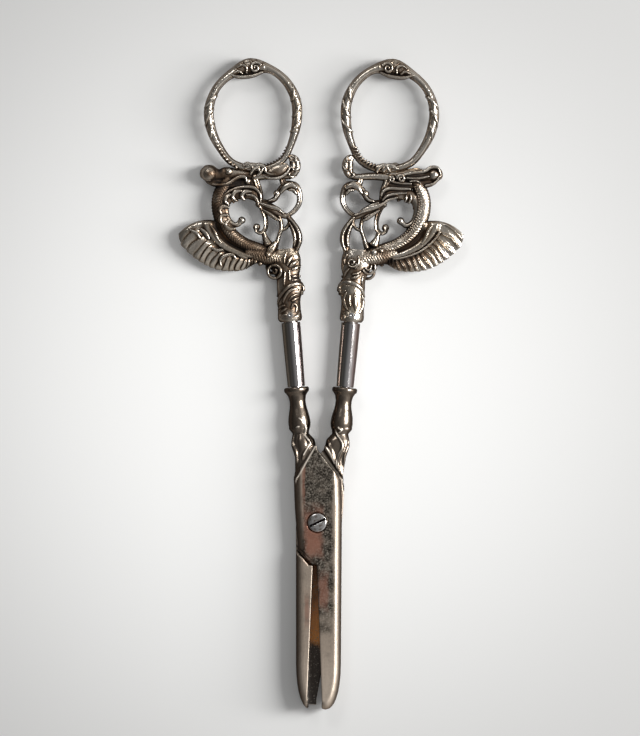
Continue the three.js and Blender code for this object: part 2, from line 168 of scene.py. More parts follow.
@dataclass
class Shell:
    """A closed skin: its corners and the corner numbers of each face, counter-clockwise from outside."""

    corners: Array
    faces: list[tuple[int, ...]]

    def thing(self, name: str) -> Thing:
        """Makes an object of the skin.

        Args:
            name: Name of the object and its mesh.

        Returns:
            The object.
        """
        mesh = bpy.data.meshes.new(name)
        mesh.from_pydata(self.corners.tolist(), [], self.faces)
        return linked(name, mesh)


def around(sides: int) -> Array:
    """Gives the angles of the corners round a body."""
    return np.arange(sides) * 2 * np.pi / sides


def travelled(line: Array) -> Array:
    """Gives the distances in the plane along a line of places."""
    return np.concatenate([[0], np.cumsum(np.linalg.norm(np.diff(line[:, :2], axis=0), axis=1))])


def headings(line: Array) -> Array:
    """Gives the directions of travel in the plane along a line of places."""
    ahead = np.gradient(line[:, :2], axis=0)
    return ahead / np.linalg.norm(ahead, axis=1)[:, None]


def smooth_run(points: Sequence[Point], step: float, closed: bool = False) -> Array:
    """Runs a centripetal curve through points and spaces its samples evenly.

    Args:
        points: Corners of the run; the first two numbers of each are its place in the plane.
        step: Distance between neighbouring samples.
        closed: Whether the run comes back to its start.

    Returns:
        One row for each sample, with as many numbers as a corner has.
    """
    knots = np.asarray(points, float)
    if closed:
        ring = np.vstack([knots[-1], knots, knots[0], knots[1]])
    else:
        ring = np.vstack([2 * knots[0] - knots[1], knots, 2 * knots[-1] - knots[-2]])
    fine: list[Array] = []
    t = np.linspace(0, 1, 32, endpoint=False)[:, None]
    for p0, p1, p2, p3 in zip(ring, ring[1:], ring[2:], ring[3:]):
        d0, d1, d2 = (max(np.linalg.norm(b - a), 1e-6) ** 0.5 for a, b in ((p0, p1), (p1, p2), (p2, p3)))
        leave = ((p1 - p0) / d0 - (p2 - p0) / (d0 + d1) + (p2 - p1) / d1) * d1
        arrive = ((p2 - p1) / d1 - (p3 - p1) / (d1 + d2) + (p3 - p2) / d2) * d1
        bend = 3 * (p2 - p1) - 2 * leave - arrive
        twist = 2 * (p1 - p2) + leave + arrive
        fine.append(p1 + leave * t + bend * t**2 + twist * t**3)
    fine.append(ring[-2][None, :])
    line = np.vstack(fine)
    gone = travelled(line)
    count = max(4, int(round(gone[-1] / step)) + 1)
    at = np.linspace(0, gone[-1], count)
    run = np.column_stack([np.interp(at, gone, column) for column in line.T])
    return run[:-1] if closed else run


def spiral(centre: Point, outer: float, inner: float, turns: float, start: float, girth: Point) -> Run:
    """Winds a run inwards.

    Args:
        centre: Middle of the spiral.
        outer: Radius at the start.
        inner: Radius at the end.
        turns: Number of turns, negative for clockwise.
        start: Angle of the start in degrees.
        girth: Half-width at the start and at the end.

    Returns:
        Points of place and half-width.
    """
    count = int(10 * abs(turns)) + 1
    points = []
    for i in range(count):
        t = i / (count - 1)
        angle = math.radians(start) + 2 * math.pi * turns * t
        radius = outer + (inner - outer) * t**0.8
        width = girth[0] + (girth[1] - girth[0]) * t
        points.append((centre[0] + radius * math.cos(angle), centre[1] + radius * math.sin(angle), width))
    return tuple(points)


def tooling(kind: Relief, along: Array, angle: Array) -> Array:
    """Gives how far the skin of a bar swells or sinks.

    Args:
        kind: Kind of tooling.
        along: Distance along the bar, one row for each ring.
        angle: Angle round the bar, one for each side; a quarter turn is the top.

    Returns:
        A factor on the bar's radius for each ring and side.
    """
    if kind is Relief.VEINED:
        return 1.04 - 0.3 * np.exp(-((np.cos(angle) / 0.34) ** 2)) + 0 * along
    if kind is Relief.PEBBLED:
        return 1 + 0.08 * np.sin(2 * np.pi * along / PEBBLE + 2 * np.sin(5 * angle)) * np.cos(16 * angle)
    return np.ones_like(along + angle)


def skin_over(x: Array, y: Array, z: Array, closed: bool = False) -> Shell:
    """Closes a row of equal rings into a skin.

    Args:
        x: First coordinate of the corners, by ring and place in the ring.
        y: Second coordinate.
        z: Third coordinate.
        closed: Whether the last ring meets the first; an open row is capped.

    Returns:
        The skin.
    """
    rings = np.stack(np.broadcast_arrays(x, y, z), axis=2)
    count, sides = rings.shape[:2]
    faces: list[tuple[int, ...]] = []
    for i in range(count if closed else count - 1):
        here, there = i * sides, ((i + 1) % count) * sides
        for k in range(sides):
            m = (k + 1) % sides
            faces.append((here + k, here + m, there + m, there + k))
    if not closed:
        faces.append(tuple(range(sides - 1, -1, -1)))
        faces.append(tuple(range((count - 1) * sides, count * sides)))
    return Shell(rings.reshape(-1, 3), faces)


def swept(flat: Array, ahead: Array, reach: Array, rise: Array,
          closed: bool = False) -> Shell:
    """Sets rings across a line in the plane.

    Args:
        flat: Place of each ring.
        ahead: Direction of travel at each ring.
        reach: How far to the left each corner lies, by ring and side.
        rise: Height of each corner.
        closed: Whether the line comes back to its start.

    Returns:
        The closed skin.
    """
    return skin_over(flat[:, :1] - ahead[:, 1:] * reach, flat[:, 1:] + ahead[:, :1] * reach, rise, closed)


@dataclass(frozen=True)
class Bar:
    """One bar, leaf or ridge, swept along a run in the plane of the casting.

    Attributes:
        run: Points of place, half-width and, where it rises, height.
        depth: Half-depth.
        relief: Tooling on its skin.
        lift: Height of its middle over the parting plane.
        sides: Corners round the bar.
        step: Distance between rings.
    """

    run: Run
    depth: float
    relief: Relief = Relief.PLAIN
    lift: float = 0.0
    sides: int = 24
    step: float = 0.22

    def skin(self, ground: Height | None = None) -> Shell:
        """Sweeps the bar and rounds off its ends.

        Args:
            ground: Height of a surface that the bar lies on, added to its lift.

        Returns:
            The closed skin.
        """
        run = smooth_run(self.run, self.step)
        flat, width, ahead = run[:, :2], run[:, 2], headings(run)
        depth = self.depth * np.minimum(1, 0.35 + 0.65 * width / max(width.max(), 1e-6))
        middle = self.lift + (run[:, 3] if run.shape[1] > 3 else np.zeros(len(run)))
        tips = np.radians([82, 60, 38, 18])
        ease = np.cos(tips)
        lead = flat[0] - ahead[0] * (BLUNT * width[0] * np.sin(tips))[:, None]
        tail = flat[-1] + ahead[-1] * (BLUNT * width[-1] * np.sin(tips[::-1]))[:, None]
        flat = np.vstack([lead, flat, tail])
        width, depth = (np.concatenate([row[0] * ease, row, row[-1] * ease[::-1]]) for row in (width, depth))
        middle, ahead = np.pad(middle, len(tips), "edge"), np.pad(ahead, ((len(tips),) * 2, (0, 0)), "edge")
        if ground is not None:
            middle = middle + ground(flat[:, 0], flat[:, 1])
        angle = around(self.sides)
        swell = tooling(self.relief, travelled(flat)[:, None], angle)
        rise = middle[:, None] + depth[:, None] * np.sin(angle) * swell
        return swept(flat, ahead, width[:, None] * np.cos(angle) * swell, rise)


def shapes_of(bars: Sequence[Bar], name: str, ground: Height | None = None) -> list[Thing]:
    """Makes an object of each bar, laid on a surface where one is given."""
    return [bar.skin(ground).thing(name) for bar in bars]


def crescents(run: Run, count: int, depth: float, span: Point, lean: float, size: Point) -> list[Bar]:
    """Gives crescents that cross a bar one after another.

    Args:
        run: Points of place and half-width of the bar.
        count: Number of crescents.
        depth: Half-depth of the bar; negative to lay them on its back.
        span: Where each starts and ends across the bar, in half-widths; left is positive.
        lean: How far each runs ahead on its way across, in half-widths.
        size: Half-width and half-depth of a crescent.

    Returns:
        The crescents.
    """
    line = smooth_run(run, 0.1)
    ahead = headings(line)
    t = np.linspace(0, 1, 7)
    share = span[0] + (span[1] - span[0]) * t
    rise = depth * np.sqrt(1 - np.clip(0.92 * share, -1, 1) ** 2)
    girth = size[0] * np.sin(np.pi * (0.1 + 0.82 * t)) ** 0.7
    bars = []
    for i in range(count):
        start = (len(line) - 1) * (i + 0.5) / count
        forward = 10 * lean * line[int(start), 2] * (t**1.5 - 0.4)
        at = np.clip(start + forward, 0, len(line) - 1).astype(int)
        left = np.column_stack([-ahead[at, 1], ahead[at, 0]])
        place = line[at, :2] + left * (share * line[at, 2])[:, None]
        bars.append(Bar(tuple(map(tuple, np.column_stack([place, girth, rise]))), size[1], sides=16))
    return bars


def upright(profile: Sequence[Point], place: Point, sides: int = 64) -> Shell:
    """Turns a profile about an upright axis.

    Args:
        profile: Points of radius and height, from the foot to the head.
        place: Where the axis stands in the plane.
        sides: Corners round the body.

    Returns:
        The closed skin.
    """
    line, angle = np.asarray(profile, float), around(sides)
    x, y = (start + line[:, :1] * wave for start, wave in zip(place, (np.cos(angle), np.sin(angle))))
    return skin_over(x, y, line[:, 1:])


def turned(profile: Sequence[Point], sides: int = 64) -> Shell:
    """Turns a profile of radius and height about the +Y axis."""
    stood = upright(profile, (0.0, 0.0), sides)
    return Shell(stood.corners[:, [0, 2, 1]] * (1, 1, -1), stood.faces)


def pin_hole(height: float) -> Thing:
    """Makes the shape of the cross-pin's bore at a height up the shaft's axis."""
    return upright(((PIN_BORE, -5.0), (PIN_BORE, 5.0)), (0.0, height), 32).thing("hole")


def ball(place: Point, radius: float, lift: float) -> Thing:
    """Turns a ball.

    Args:
        place: Its middle in the plane.
        radius: Its radius.
        lift: Height of its middle over the parting plane.

    Returns:
        The ball.
    """
    rise = np.radians(np.linspace(-84, 84, 15))
    half_circle = np.column_stack([np.cos(rise), np.sin(rise)])
    return upright(half_circle * radius + (0, lift), place, 28).thing("boss")


def prism(plan: Sequence[Point], low: float, high: float) -> Shell:
    """Raises a plan into an upright block.

    Args:
        plan: Corners in the plane.
        low: Height of its foot.
        high: Height of its head.

    Returns:
        The closed skin.
    """
    x, y = np.asarray(plan, float).T
    if np.sum(x * np.roll(y, -1) - np.roll(x, -1) * y) < 0:
        x, y = x[::-1], y[::-1]
    return skin_over(x[None, :], y[None, :], np.array([[low], [high]]))


# Joining and finishing meshes


def welded(mesh: Mesh) -> Mesh:
    """Copies a solid's loose triangles and welds them.

    Args:
        mesh: Mesh of the solid.

    Returns:
        The welded copy.
    """
    made = bpy.data.meshes.new("welded")
    work = bmesh.new()
    work.from_mesh(mesh)
    bmesh.ops.remove_doubles(work, verts=work.verts, dist=1e-7)
    work.to_mesh(made)
    work.free()
    return made


def settle(thing: Thing) -> Thing:
    """Turns an object's evaluated result into its own plain mesh.

    Args:
        thing: Object with modifiers.

    Returns:
        The same object, without modifiers.
    """
    graph = bpy.context.evaluated_depsgraph_get()
    mesh = bpy.data.meshes.new_from_object(thing.evaluated_get(graph))
    thing.modifiers.clear()
    old, thing.data = thing.data, mesh
    bpy.data.meshes.remove(old)
    return thing


def merged(base: Thing, tools: Sequence[Thing], how: Merge) -> Thing:
    """Joins closed shapes to a base or cuts them out of it.

    Args:
        base: Object that is changed.
        tools: Shapes that are used up.
        how: Whether they are joined or cut out.

    Returns:
        The base.
    """
    box = bpy.data.collections.new("tools")
    bpy.context.scene.collection.children.link(box)
    for tool in tools:
        bpy.context.scene.collection.objects.unlink(tool)
        box.objects.link(tool)
    step = base.modifiers.new("merge", "BOOLEAN")
    step.operation = how.value
    step.solver = "MANIFOLD"
    step.operand_type = "COLLECTION"
    step.collection = box
    settle(base)
    for tool in list(box.objects):
        bpy.data.objects.remove(tool)
    bpy.data.collections.remove(box)
    return base


def keep_largest(mesh: Mesh) -> None:
    """Drops every shell of a mesh but the largest, such as a bubble that a join has shut in.

    Args:
        mesh: Mesh that is changed.
    """
    work = bmesh.new()
    work.from_mesh(mesh)
    left, shells = set(work.verts), []
    while left:
        front = {left.pop()}
        shell = list(front)
        while front:
            front = {edge.other_vert(corner) for corner in front for edge in corner.link_edges} & left
            left -= front
            shell += front
        shells.append(shell)
    for shell in sorted(shells, key=len)[:-1]:
        LOG.info("%s: a loose shell of %d corners is dropped", mesh.name, len(shell))
        bmesh.ops.delete(work, geom=shell, context="VERTS")
    work.to_mesh(mesh)
    work.free()


def fine_skin(thing: Thing, voxel: float, passes: int) -> Thing:
    """Remeshes an object evenly, which rounds its edges as use does.

    Args:
        thing: Object that is changed.
        voxel: Spacing of the new corners.
        passes: Smoothing passes.

    Returns:
        The same object.
    """
    grid = thing.modifiers.new("grid", "REMESH")
    grid.mode = "VOXEL"
    grid.voxel_size = voxel
    ease = thing.modifiers.new("ease", "SMOOTH")
    ease.factor = 0.5
    ease.iterations = passes
    return settle(thing)


def skin_arrays(mesh: Mesh) -> tuple[Array, Array]:
    """Reads the corners of a mesh.

    Args:
        mesh: Mesh to read.

    Returns:
        Their places and the directions that they face.
    """
    place, out = np.empty((2, len(mesh.vertices) * 3))
    mesh.vertices.foreach_get("co", place)
    mesh.vertex_normals.foreach_get("vector", out)
    return place.reshape(-1, 3), out.reshape(-1, 3)


def mark(mesh: Mesh, name: str, values: Array) -> None:
    """Stores one value for each corner of a mesh."""
    layer = mesh.attributes.get(name) or mesh.attributes.new(name, "FLOAT", "POINT")
    layer.data.foreach_set("value", values.astype(np.float32))


def mark_tarnish_and_shade(thing: Thing, reach: float, rays: int, flanks: float) -> None:
    """Writes how sheltered each corner is, from 0 in the open to 1 in a deep hollow where tarnish gathers,
    and adds painted shade on upright flanks.

    Args:
        thing: Object in millimetres, lying flat.
        reach: Farthest wall that counts.
        rays: Directions tried from each corner.
        flanks: How much painted shade an upright flank gets, added as if it were sheltered.
    """
    mesh = thing.data
    place, out = skin_arrays(mesh)
    tree = BVHTree.FromPolygons(place.tolist(), [tuple(p.vertices) for p in mesh.polygons])
    helper = np.where(np.abs(out[:, 2:]) < 0.9, [[0.0, 0.0, 1.0]], [[1.0, 0.0, 0.0]])
    east = np.cross(helper, out)
    east /= np.linalg.norm(east, axis=1)[:, None] + 1e-9
    north = np.cross(out, east)
    start = (place + 0.04 * out).tolist()
    shut = np.zeros(len(place))
    for i in range(rays):
        rise = 0.2 + 0.78 * (i + 0.5) / rays
        turn = i * 2.399963
        flat = math.sqrt(1 - rise * rise)
        way = out * rise + flat * (east * math.cos(turn) + north * math.sin(turn))
        for k, (origin, direction) in enumerate(zip(start, way.tolist())):
            distance = tree.ray_cast(origin, direction, reach)[3]
            if distance is not None:
                shut[k] += 1 - 0.6 * distance / reach
    # Shelter from the hollows, plus painted shade on upright flanks
    store_tarnish_and_shade(mesh, shut / rays + flanks * np.clip((0.6 - np.abs(out[:, 2])) / 0.5, 0, 1))


def store_tarnish_and_shade(mesh: Mesh, shut: Array) -> None:
    """Evens out the values of tarnish and painted shade along edges and stores them on the mesh.

    Args:
        mesh: Mesh that gets the attribute.
        shut: One value for each corner.
    """
    pairs = np.empty(len(mesh.edges) * 2, np.int64)
    mesh.edges.foreach_get("vertices", pairs)
    a, b = pairs.reshape(-1, 2).T
    weight = np.bincount(a, minlength=len(shut)) + np.bincount(b, minlength=len(shut))
    near = np.bincount(a, shut[b], len(shut)) + np.bincount(b, shut[a], len(shut))
    even = 0.5 * shut + 0.5 * near / np.maximum(weight, 1)
    mark(mesh, TARNISH_AND_SHADE, even)


def add_spots(mesh: Mesh, spots: Run, name: str = TARNISH_AND_SHADE) -> None:
    """Adds spots to a value of a mesh's faces: painted shade and painted highlights on the blades, and darker
    and lighter spots on the castings.

    Args:
        mesh: Mesh in millimetres.
        spots: Place, radius, amount and face of each spot.
        name: Name of the value, which starts from 0 where the mesh has none yet.
    """
    place, _ = skin_arrays(mesh)
    shut = np.zeros(len(place))
    if name in mesh.attributes:
        mesh.attributes[name].data.foreach_get("value", shut)
    for x, y, radius, amount, face in spots:
        near = np.exp(-((place[:, 0] - x) ** 2 + (place[:, 1] - y) ** 2) / radius**2)
        shut += amount * near * (place[:, 2] * face > -0.3)
    mark(mesh, name, shut)


def mark_facing(mesh: Mesh) -> None:
    """Writes which way each corner faces, from 0 for the left to 1 for the right."""
    mark(mesh, FACING, 0.5 + 0.5 * skin_arrays(mesh)[1][:, 0])


# Node trees, and Geometry Nodes for rows of pearls and gadroons


class Noise(Enum):
    """Sizes of mottling, as waves in a metre."""

    BROAD = 90.0
    PATCH = 330.0
    GRAIN = 1500.0
    SPECK = 2300.0


@dataclass
class Tree:
    """A node tree under construction."""

    nodes: NodeTree

    def add(self, kind: str, settings: dict[str, Any] | None = None, **sockets: Any) -> Node:
        """Adds one node.

        Args:
            kind: Blender's name of the node type.
            settings: Properties of the node.
            sockets: Values or other nodes' outputs for inputs, by name with _ for a space.

        Returns:
            The node.
        """
        made = self.nodes.nodes.new(kind)
        for key, value in (settings or {}).items():
            setattr(made, key, value)
        for key, value in sockets.items():
            self.feed(made, key.replace("_", " "), value)
        return made

    def feed(self, node: Node, name: str | int, value: Any) -> None:
        """Sets or links one input.

        Args:
            node: Node that takes the value.
            name: Name or number of the input.
            value: A socket to link, or a plain value.
        """
        if isinstance(value, Socket):
            self.nodes.links.new(value, node.inputs[name])
        else:
            node.inputs[name].default_value = value

    def fill(self, node: Node, *values: Any) -> Node:
        """Feeds the first inputs of a node in their order.

        Args:
            node: Node that takes the values.
            values: Sockets to link, or plain values.

        Returns:
            The node.
        """
        for i, value in enumerate(values):
            self.feed(node, i, value)
        return node

    def maths(self, how: str, a: Any, b: Any = 0.0, c: Any = 0.0, clamp: bool = False) -> Socket:
        """Adds one sum of values, which clamp keeps from 0 to 1."""
        made = self.add("ShaderNodeMath", {"operation": how, "use_clamp": clamp})
        return self.fill(made, a, b, c).outputs[0]

    def vectors(self, how: str, *values: Any) -> Node:
        """Adds one sum of vectors."""
        return self.fill(self.add("ShaderNodeVectorMath", {"operation": how}), *values)

    def parts(self, vector: Socket) -> Any:
        """Takes a vector apart into the sockets of its three values."""
        return self.add("ShaderNodeSeparateXYZ", Vector=vector).outputs

    def noise(self, vector: Socket, size: Noise, detail: float) -> Socket:
        """Adds mottling of one of the sizes."""
        return self.add("ShaderNodeTexNoise", Vector=vector, Scale=size.value, Detail=detail).outputs[0]

    def stored(self, name: str) -> Socket:
        """Reads a value that the mesh stores for its corners."""
        return self.add("ShaderNodeAttribute", {"attribute_name": name}).outputs["Fac"]

    def span(self, value: Socket, low: float, high: float, start: float = 0.0, end: float = 1.0) -> Socket:
        """Maps a value smoothly from the range of low to high to that of start to end."""
        made = self.add("ShaderNodeMapRange", {"interpolation_type": "SMOOTHSTEP"})
        return self.fill(made, value, low, high, start, end).outputs[0]

    def blend(self, mask: Any, a: Any, b: Any) -> Socket:
        """Mixes two colours.

        Args:
            mask: Share of the second colour.
            a: First colour or socket.
            b: Second colour or socket.

        Returns:
            The mixed colour.
        """
        made = self.fill(self.add("ShaderNodeMix", {"data_type": "RGBA"}), mask)
        for slot, value in ((6, a), (7, b)):
            self.feed(made, slot, value if isinstance(value, Socket) else (*value, 1.0))
        return made.outputs[2]

    def ramp(self, palette: Palette, mask: Socket) -> Socket:
        """Picks a colour from a palette.

        Args:
            palette: Place from 0 to 1 and linear colour of each stop.
            mask: Value that picks the colour.

        Returns:
            The colour.
        """
        made = self.fill(self.add("ShaderNodeValToRGB"), mask)
        stops = made.color_ramp.elements
        while len(stops) < len(palette):
            stops.new(0.5)
        for stop, (place, colour) in zip(stops, palette):
            stop.position = place
            stop.color = (*colour, 1.0)
        return made.outputs[0]


def start_group(name: str, kind: str, inputs: dict[str, str],
                outputs: dict[str, str]) -> tuple[Tree, Any, Node]:
    """Starts a node group.

    Args:
        name: Name of the group.
        kind: Blender's name of the tree type.
        inputs: Kind of each input by its name.
        outputs: Kind of each output by its name.

    Returns:
        The tree, the sockets that its inputs come from and its output node.
    """
    nodes = bpy.data.node_groups.new(name, kind)
    for way, sockets in (("INPUT", inputs), ("OUTPUT", outputs)):
        for key, sort in sockets.items():
            nodes.interface.new_socket(key, in_out=way, socket_type=f"NodeSocket{sort}")
    tree = Tree(nodes)
    return tree, tree.add("NodeGroupInput").outputs, tree.add("NodeGroupOutput")


LOBE_SIZES = ("Spacing", "Length", "Width", "Height", "Slant")


def lobe_tree() -> NodeTree:
    """Builds the geometry tree that lays slanting lobes or round pearls along a run.

    Returns:
        The tree; its inputs are the run, the named sizes and the material.
    """
    inputs = {"Run": "Geometry", **dict.fromkeys(LOBE_SIZES, "Float"), "Material": "Material"}
    tree, start, end = start_group("lobe_row", "GeometryNodeTree", inputs, {"Row": "Geometry"})
    tree.nodes.is_modifier = True
    line = tree.add("GeometryNodeMeshToCurve", Mesh=start["Run"])
    even = tree.add("GeometryNodeResampleCurve", {"mode": "LENGTH"}, Curve=line.outputs[0],
                    Length=start["Spacing"])
    tangent = tree.add("GeometryNodeInputTangent")
    aim = tree.add("FunctionNodeAlignRotationToVector", {"axis": "X"}, Vector=tangent.outputs[0])
    spin = tree.add("FunctionNodeAxisAngleToRotation", Angle=start["Slant"])
    slant = tree.add("FunctionNodeRotateRotation", {"rotation_space": "LOCAL"}, Rotation=aim.outputs[0],
                     Rotate_By=spin.outputs[0])
    size = tree.add("ShaderNodeCombineXYZ", X=start["Width"], Y=start["Length"], Z=start["Height"])
    lobe = tree.add("GeometryNodeMeshIcoSphere", Radius=1.0, Subdivisions=2)
    row = tree.add("GeometryNodeInstanceOnPoints", Points=even.outputs[0], Instance=lobe.outputs[0],
                   Rotation=slant.outputs[0], Scale=size.outputs[0])
    real = tree.add("GeometryNodeRealizeInstances", Geometry=row.outputs[0])
    dress = tree.add("GeometryNodeSetMaterial", Geometry=real.outputs[0], Material=start["Material"])
    tree.feed(end, "Row", dress.outputs[0])
    return tree.nodes


@dataclass
class Lobes:
    """Rows of lobes and pearls in one material, laid by one geometry tree."""

    material: Material
    tree: NodeTree = field(default_factory=lobe_tree)

    def lay(self, line: Run, lift: float, sizes: Sequence[float]) -> Thing:
        """Lays a row and keeps it as a plain mesh.

        Args:
            line: Points of the row, each with any rise of its own.
            lift: Height of the lobes' middles.
            sizes: Spacing, half-length, half-width, half-height and slant of a lobe.

        Returns:
            The row.
        """
        places = [(x, y, lift + sum(rise)) for x, y, *rise in smooth_run(line, 0.3)]
        mesh = bpy.data.meshes.new("row")
        mesh.from_pydata(places, list(itertools.pairwise(range(len(places)))), [])
        thing = linked("row", mesh)
        step = thing.modifiers.new("row", "NODES")
        step.node_group = self.tree
        values = {**dict(zip(LOBE_SIZES, sizes)), "Material": self.material}
        for item in self.tree.interface.items_tree:
            if item.in_out == "INPUT" and item.name in values:
                step[item.identifier] = values[item.name]
        return settle(thing)


# Finishes


@cache
def tarnish_group() -> NodeTree:
    """Builds the group that spreads tarnish out of the hollows in uneven patches, with the painted shade
    stored in the same value.

    Returns:
        The group.
    """
    inputs = {"Vector": "Vector", "Hollow": "Float", "Reach": "Float", "Unevenness": "Float"}
    tree, start, end = start_group("tarnish", "ShaderNodeTree", inputs, {"Tarnish": "Float"})
    swing = tree.maths("SUBTRACT", tree.noise(start["Vector"], Noise.PATCH, 4.0), 0.5)
    swing = tree.maths("MULTIPLY", swing, start["Unevenness"])
    deep = tree.maths("MULTIPLY", start["Hollow"], start["Reach"])
    tree.feed(end, "Tarnish", tree.maths("ADD", deep, swing, clamp=True))
    return tree.nodes


@cache
def wear_group() -> NodeTree:
    """Builds the group of hairline scratches and fine grain on worn plate.

    Returns:
        The group.
    """
    inputs, outputs = {"Vector": "Vector", "Stretch": "Float"}, {"Scratches": "Float", "Grain": "Float"}
    tree, start, end = start_group("fine_wear", "ShaderNodeTree", inputs, outputs)
    shape = tree.add("ShaderNodeCombineXYZ", X=1.0, Y=start["Stretch"], Z=1.0)
    wide = tree.vectors("MULTIPLY", start["Vector"], shape.outputs[0])
    tree.feed(end, "Scratches", tree.noise(wide.outputs[0], Noise.SPECK, 3.0))
    tree.feed(end, "Grain", tree.noise(start["Vector"], Noise.GRAIN, 5.0))
    return tree.nodes


@dataclass
class Canvas(Tree):
    """The tree of a material, with its shader and the object coordinates."""

    shader: Node = field(init=False)
    place: Socket = field(init=False)

    def __post_init__(self) -> None:
        """Starts the tree with its shader and coordinates."""
        self.nodes.nodes.clear()
        self.shader = self.add("ShaderNodeBsdfPrincipled")
        self.add("ShaderNodeOutputMaterial", Surface=self.shader.outputs[0])
        self.place = self.add("ShaderNodeTexCoord").outputs["Object"]

    def tarnish(self, reach: float, unevenness: float) -> Socket:
        """Masks the tarnish that spreads out of the hollows, with the painted shade stored in the same value.
        """
        return self.add("ShaderNodeGroup", {"node_tree": tarnish_group()}, Vector=self.place,
                        Hollow=self.stored(TARNISH_AND_SHADE), Reach=reach, Unevenness=unevenness).outputs[0]

    def wear(self, stretch: float) -> Any:
        """Gives the sockets of the scratches and the grain."""
        made = self.add("ShaderNodeGroup", {"node_tree": wear_group()}, Vector=self.place, Stretch=stretch)
        return made.outputs

    def coat(self, **values: Any) -> None:
        """Feeds inputs of the shader, by name with _ for a space."""
        for name, value in values.items():
            self.feed(self.shader, name.replace("_", " "), value)

    def emboss(self, height: Socket, strength: float, depth: float) -> Socket:
        """Gives the direction of a surface that a value raises."""
        return self.add("ShaderNodeBump", Strength=strength, Distance=depth, Height=height).outputs[0]


@dataclass(frozen=True)
class Finish:
    """What all finishes share."""

    def dress(self, name: str) -> Material:
        """Builds the material.

        Args:
            name: Name of the material.

        Returns:
            The material.
        """
        made = bpy.data.materials.new(name)
        made.use_nodes = True
        self.paint(Canvas(made.node_tree))
        return made

    def paint(self, tree: Canvas) -> None:
        """Paints the finish into a material's tree; each finish has its own way."""
        raise NotImplementedError


@dataclass(frozen=True)
class CastPlate(Finish):
    """Silver plate on a casting: bright on the crests, brown to black in the hollows, with painted shade on
    its upright sides.

    Attributes:
        palette: Colours from crest to hollow, which also give the painted shade of the upright sides.
        gilt: Colour of the patches where a yellow tarnish has settled.
        reach: How strongly a hollow tarnishes.
        unevenness: How patchy the tarnish is.
    """

    palette: Palette = (
        (0.0, (0.84, 0.77, 0.675)),
        (0.2, (0.57, 0.48, 0.385)),
        (0.45, (0.20, 0.135, 0.09)),
        (0.85, (0.022, 0.015, 0.011)),
    )
    gilt: Colour = (0.56, 0.44, 0.30)
    reach: float = 1.45
    unevenness: float = 0.6

    def paint(self, tree: Canvas) -> None:
        """Darkens the hollows with tarnish and the upright sides with painted shade, and lays the yellow
        patches on what is clean.

        Args:
            tree: Tree of the material.
        """
        # Tarnish in the hollows, with painted shade on the upright sides
        mask = tree.tarnish(self.reach, self.unevenness)
        grain = tree.wear(1.0)["Grain"]
        yellow = tree.span(tree.noise(tree.place, Noise.BROAD, 4.0), 0.46, 0.66, 0.0, 0.4)
        yellow = tree.maths("MULTIPLY", yellow, tree.span(mask, 0.1, 0.6, 1.0, 0.0))
        gloss = tree.maths("MULTIPLY_ADD", grain, 0.12, 0.12)
        tree.coat(
            Base_Color=tree.blend(yellow, tree.ramp(self.palette, mask), self.gilt),
            Metallic=tree.span(mask, 0.45, 1.0, 1.0, 0.45),
            Roughness=tree.maths("MULTIPLY_ADD", mask, 0.38, gloss),
            Normal=tree.emboss(grain, 0.4, 0.00025),
        )


@dataclass(frozen=True)
class PolishedPlate(Finish):
    """Smooth plate on the shafts with olive and lilac tarnish down its sides, under painted shade at both
    sides and a painted sheen right of the middle.

    Attributes:
        palette: Colours of the streaks, from clean plate to its tarnish.
        side_tint_and_shade: Colours from the left of the shaft to its right: olive and lilac tints with
            painted shade at both sides and a painted sheen right of the middle.
        stretch: How much longer than wide the streaks are, as a factor on Y.
    """

    palette: Palette = (
        (0.25, (0.78, 0.74, 0.72)),
        (0.5, (0.66, 0.60, 0.60)),
        (0.68, (0.55, 0.44, 0.36)),
        (0.9, (0.36, 0.25, 0.19)),
    )
    # Painted shade at both sides and a painted sheen right of the middle, in olive and lilac tints
    side_tint_and_shade: Palette = (
        (0.02, (0.20, 0.17, 0.11)),
        (0.22, (0.36, 0.33, 0.25)),
        (0.45, (0.50, 0.50, 0.50)),
        (0.72, (0.66, 0.63, 0.62)),
        (0.88, (0.46, 0.34, 0.34)),
        (1.0, (0.26, 0.17, 0.15)),
    )
    stretch: float = 0.22

    def paint(self, tree: Canvas) -> None:
        """Lays long streaks under the tints, painted shade and painted sheen of the sides.

        Args:
            tree: Tree of the material.
        """
        long = tree.add("ShaderNodeMapping", Vector=tree.place, Scale=(1.0, self.stretch, 1.0))
        streak = tree.noise(long.outputs[0], Noise.PATCH, 3.0)
        scratches = tree.wear(0.06)["Scratches"]
        # Painted shade and sheen by the way the surface faces
        side_tint_and_shade = tree.ramp(self.side_tint_and_shade, tree.stored(FACING))
        tree.coat(
            Base_Color=tree.blend(0.7, tree.ramp(self.palette, streak), side_tint_and_shade),
            Metallic=1.0,
            Roughness=tree.maths("MULTIPLY_ADD", scratches, 0.16, 0.05),
            Normal=tree.emboss(scratches, 0.08, 0.00005),
        )


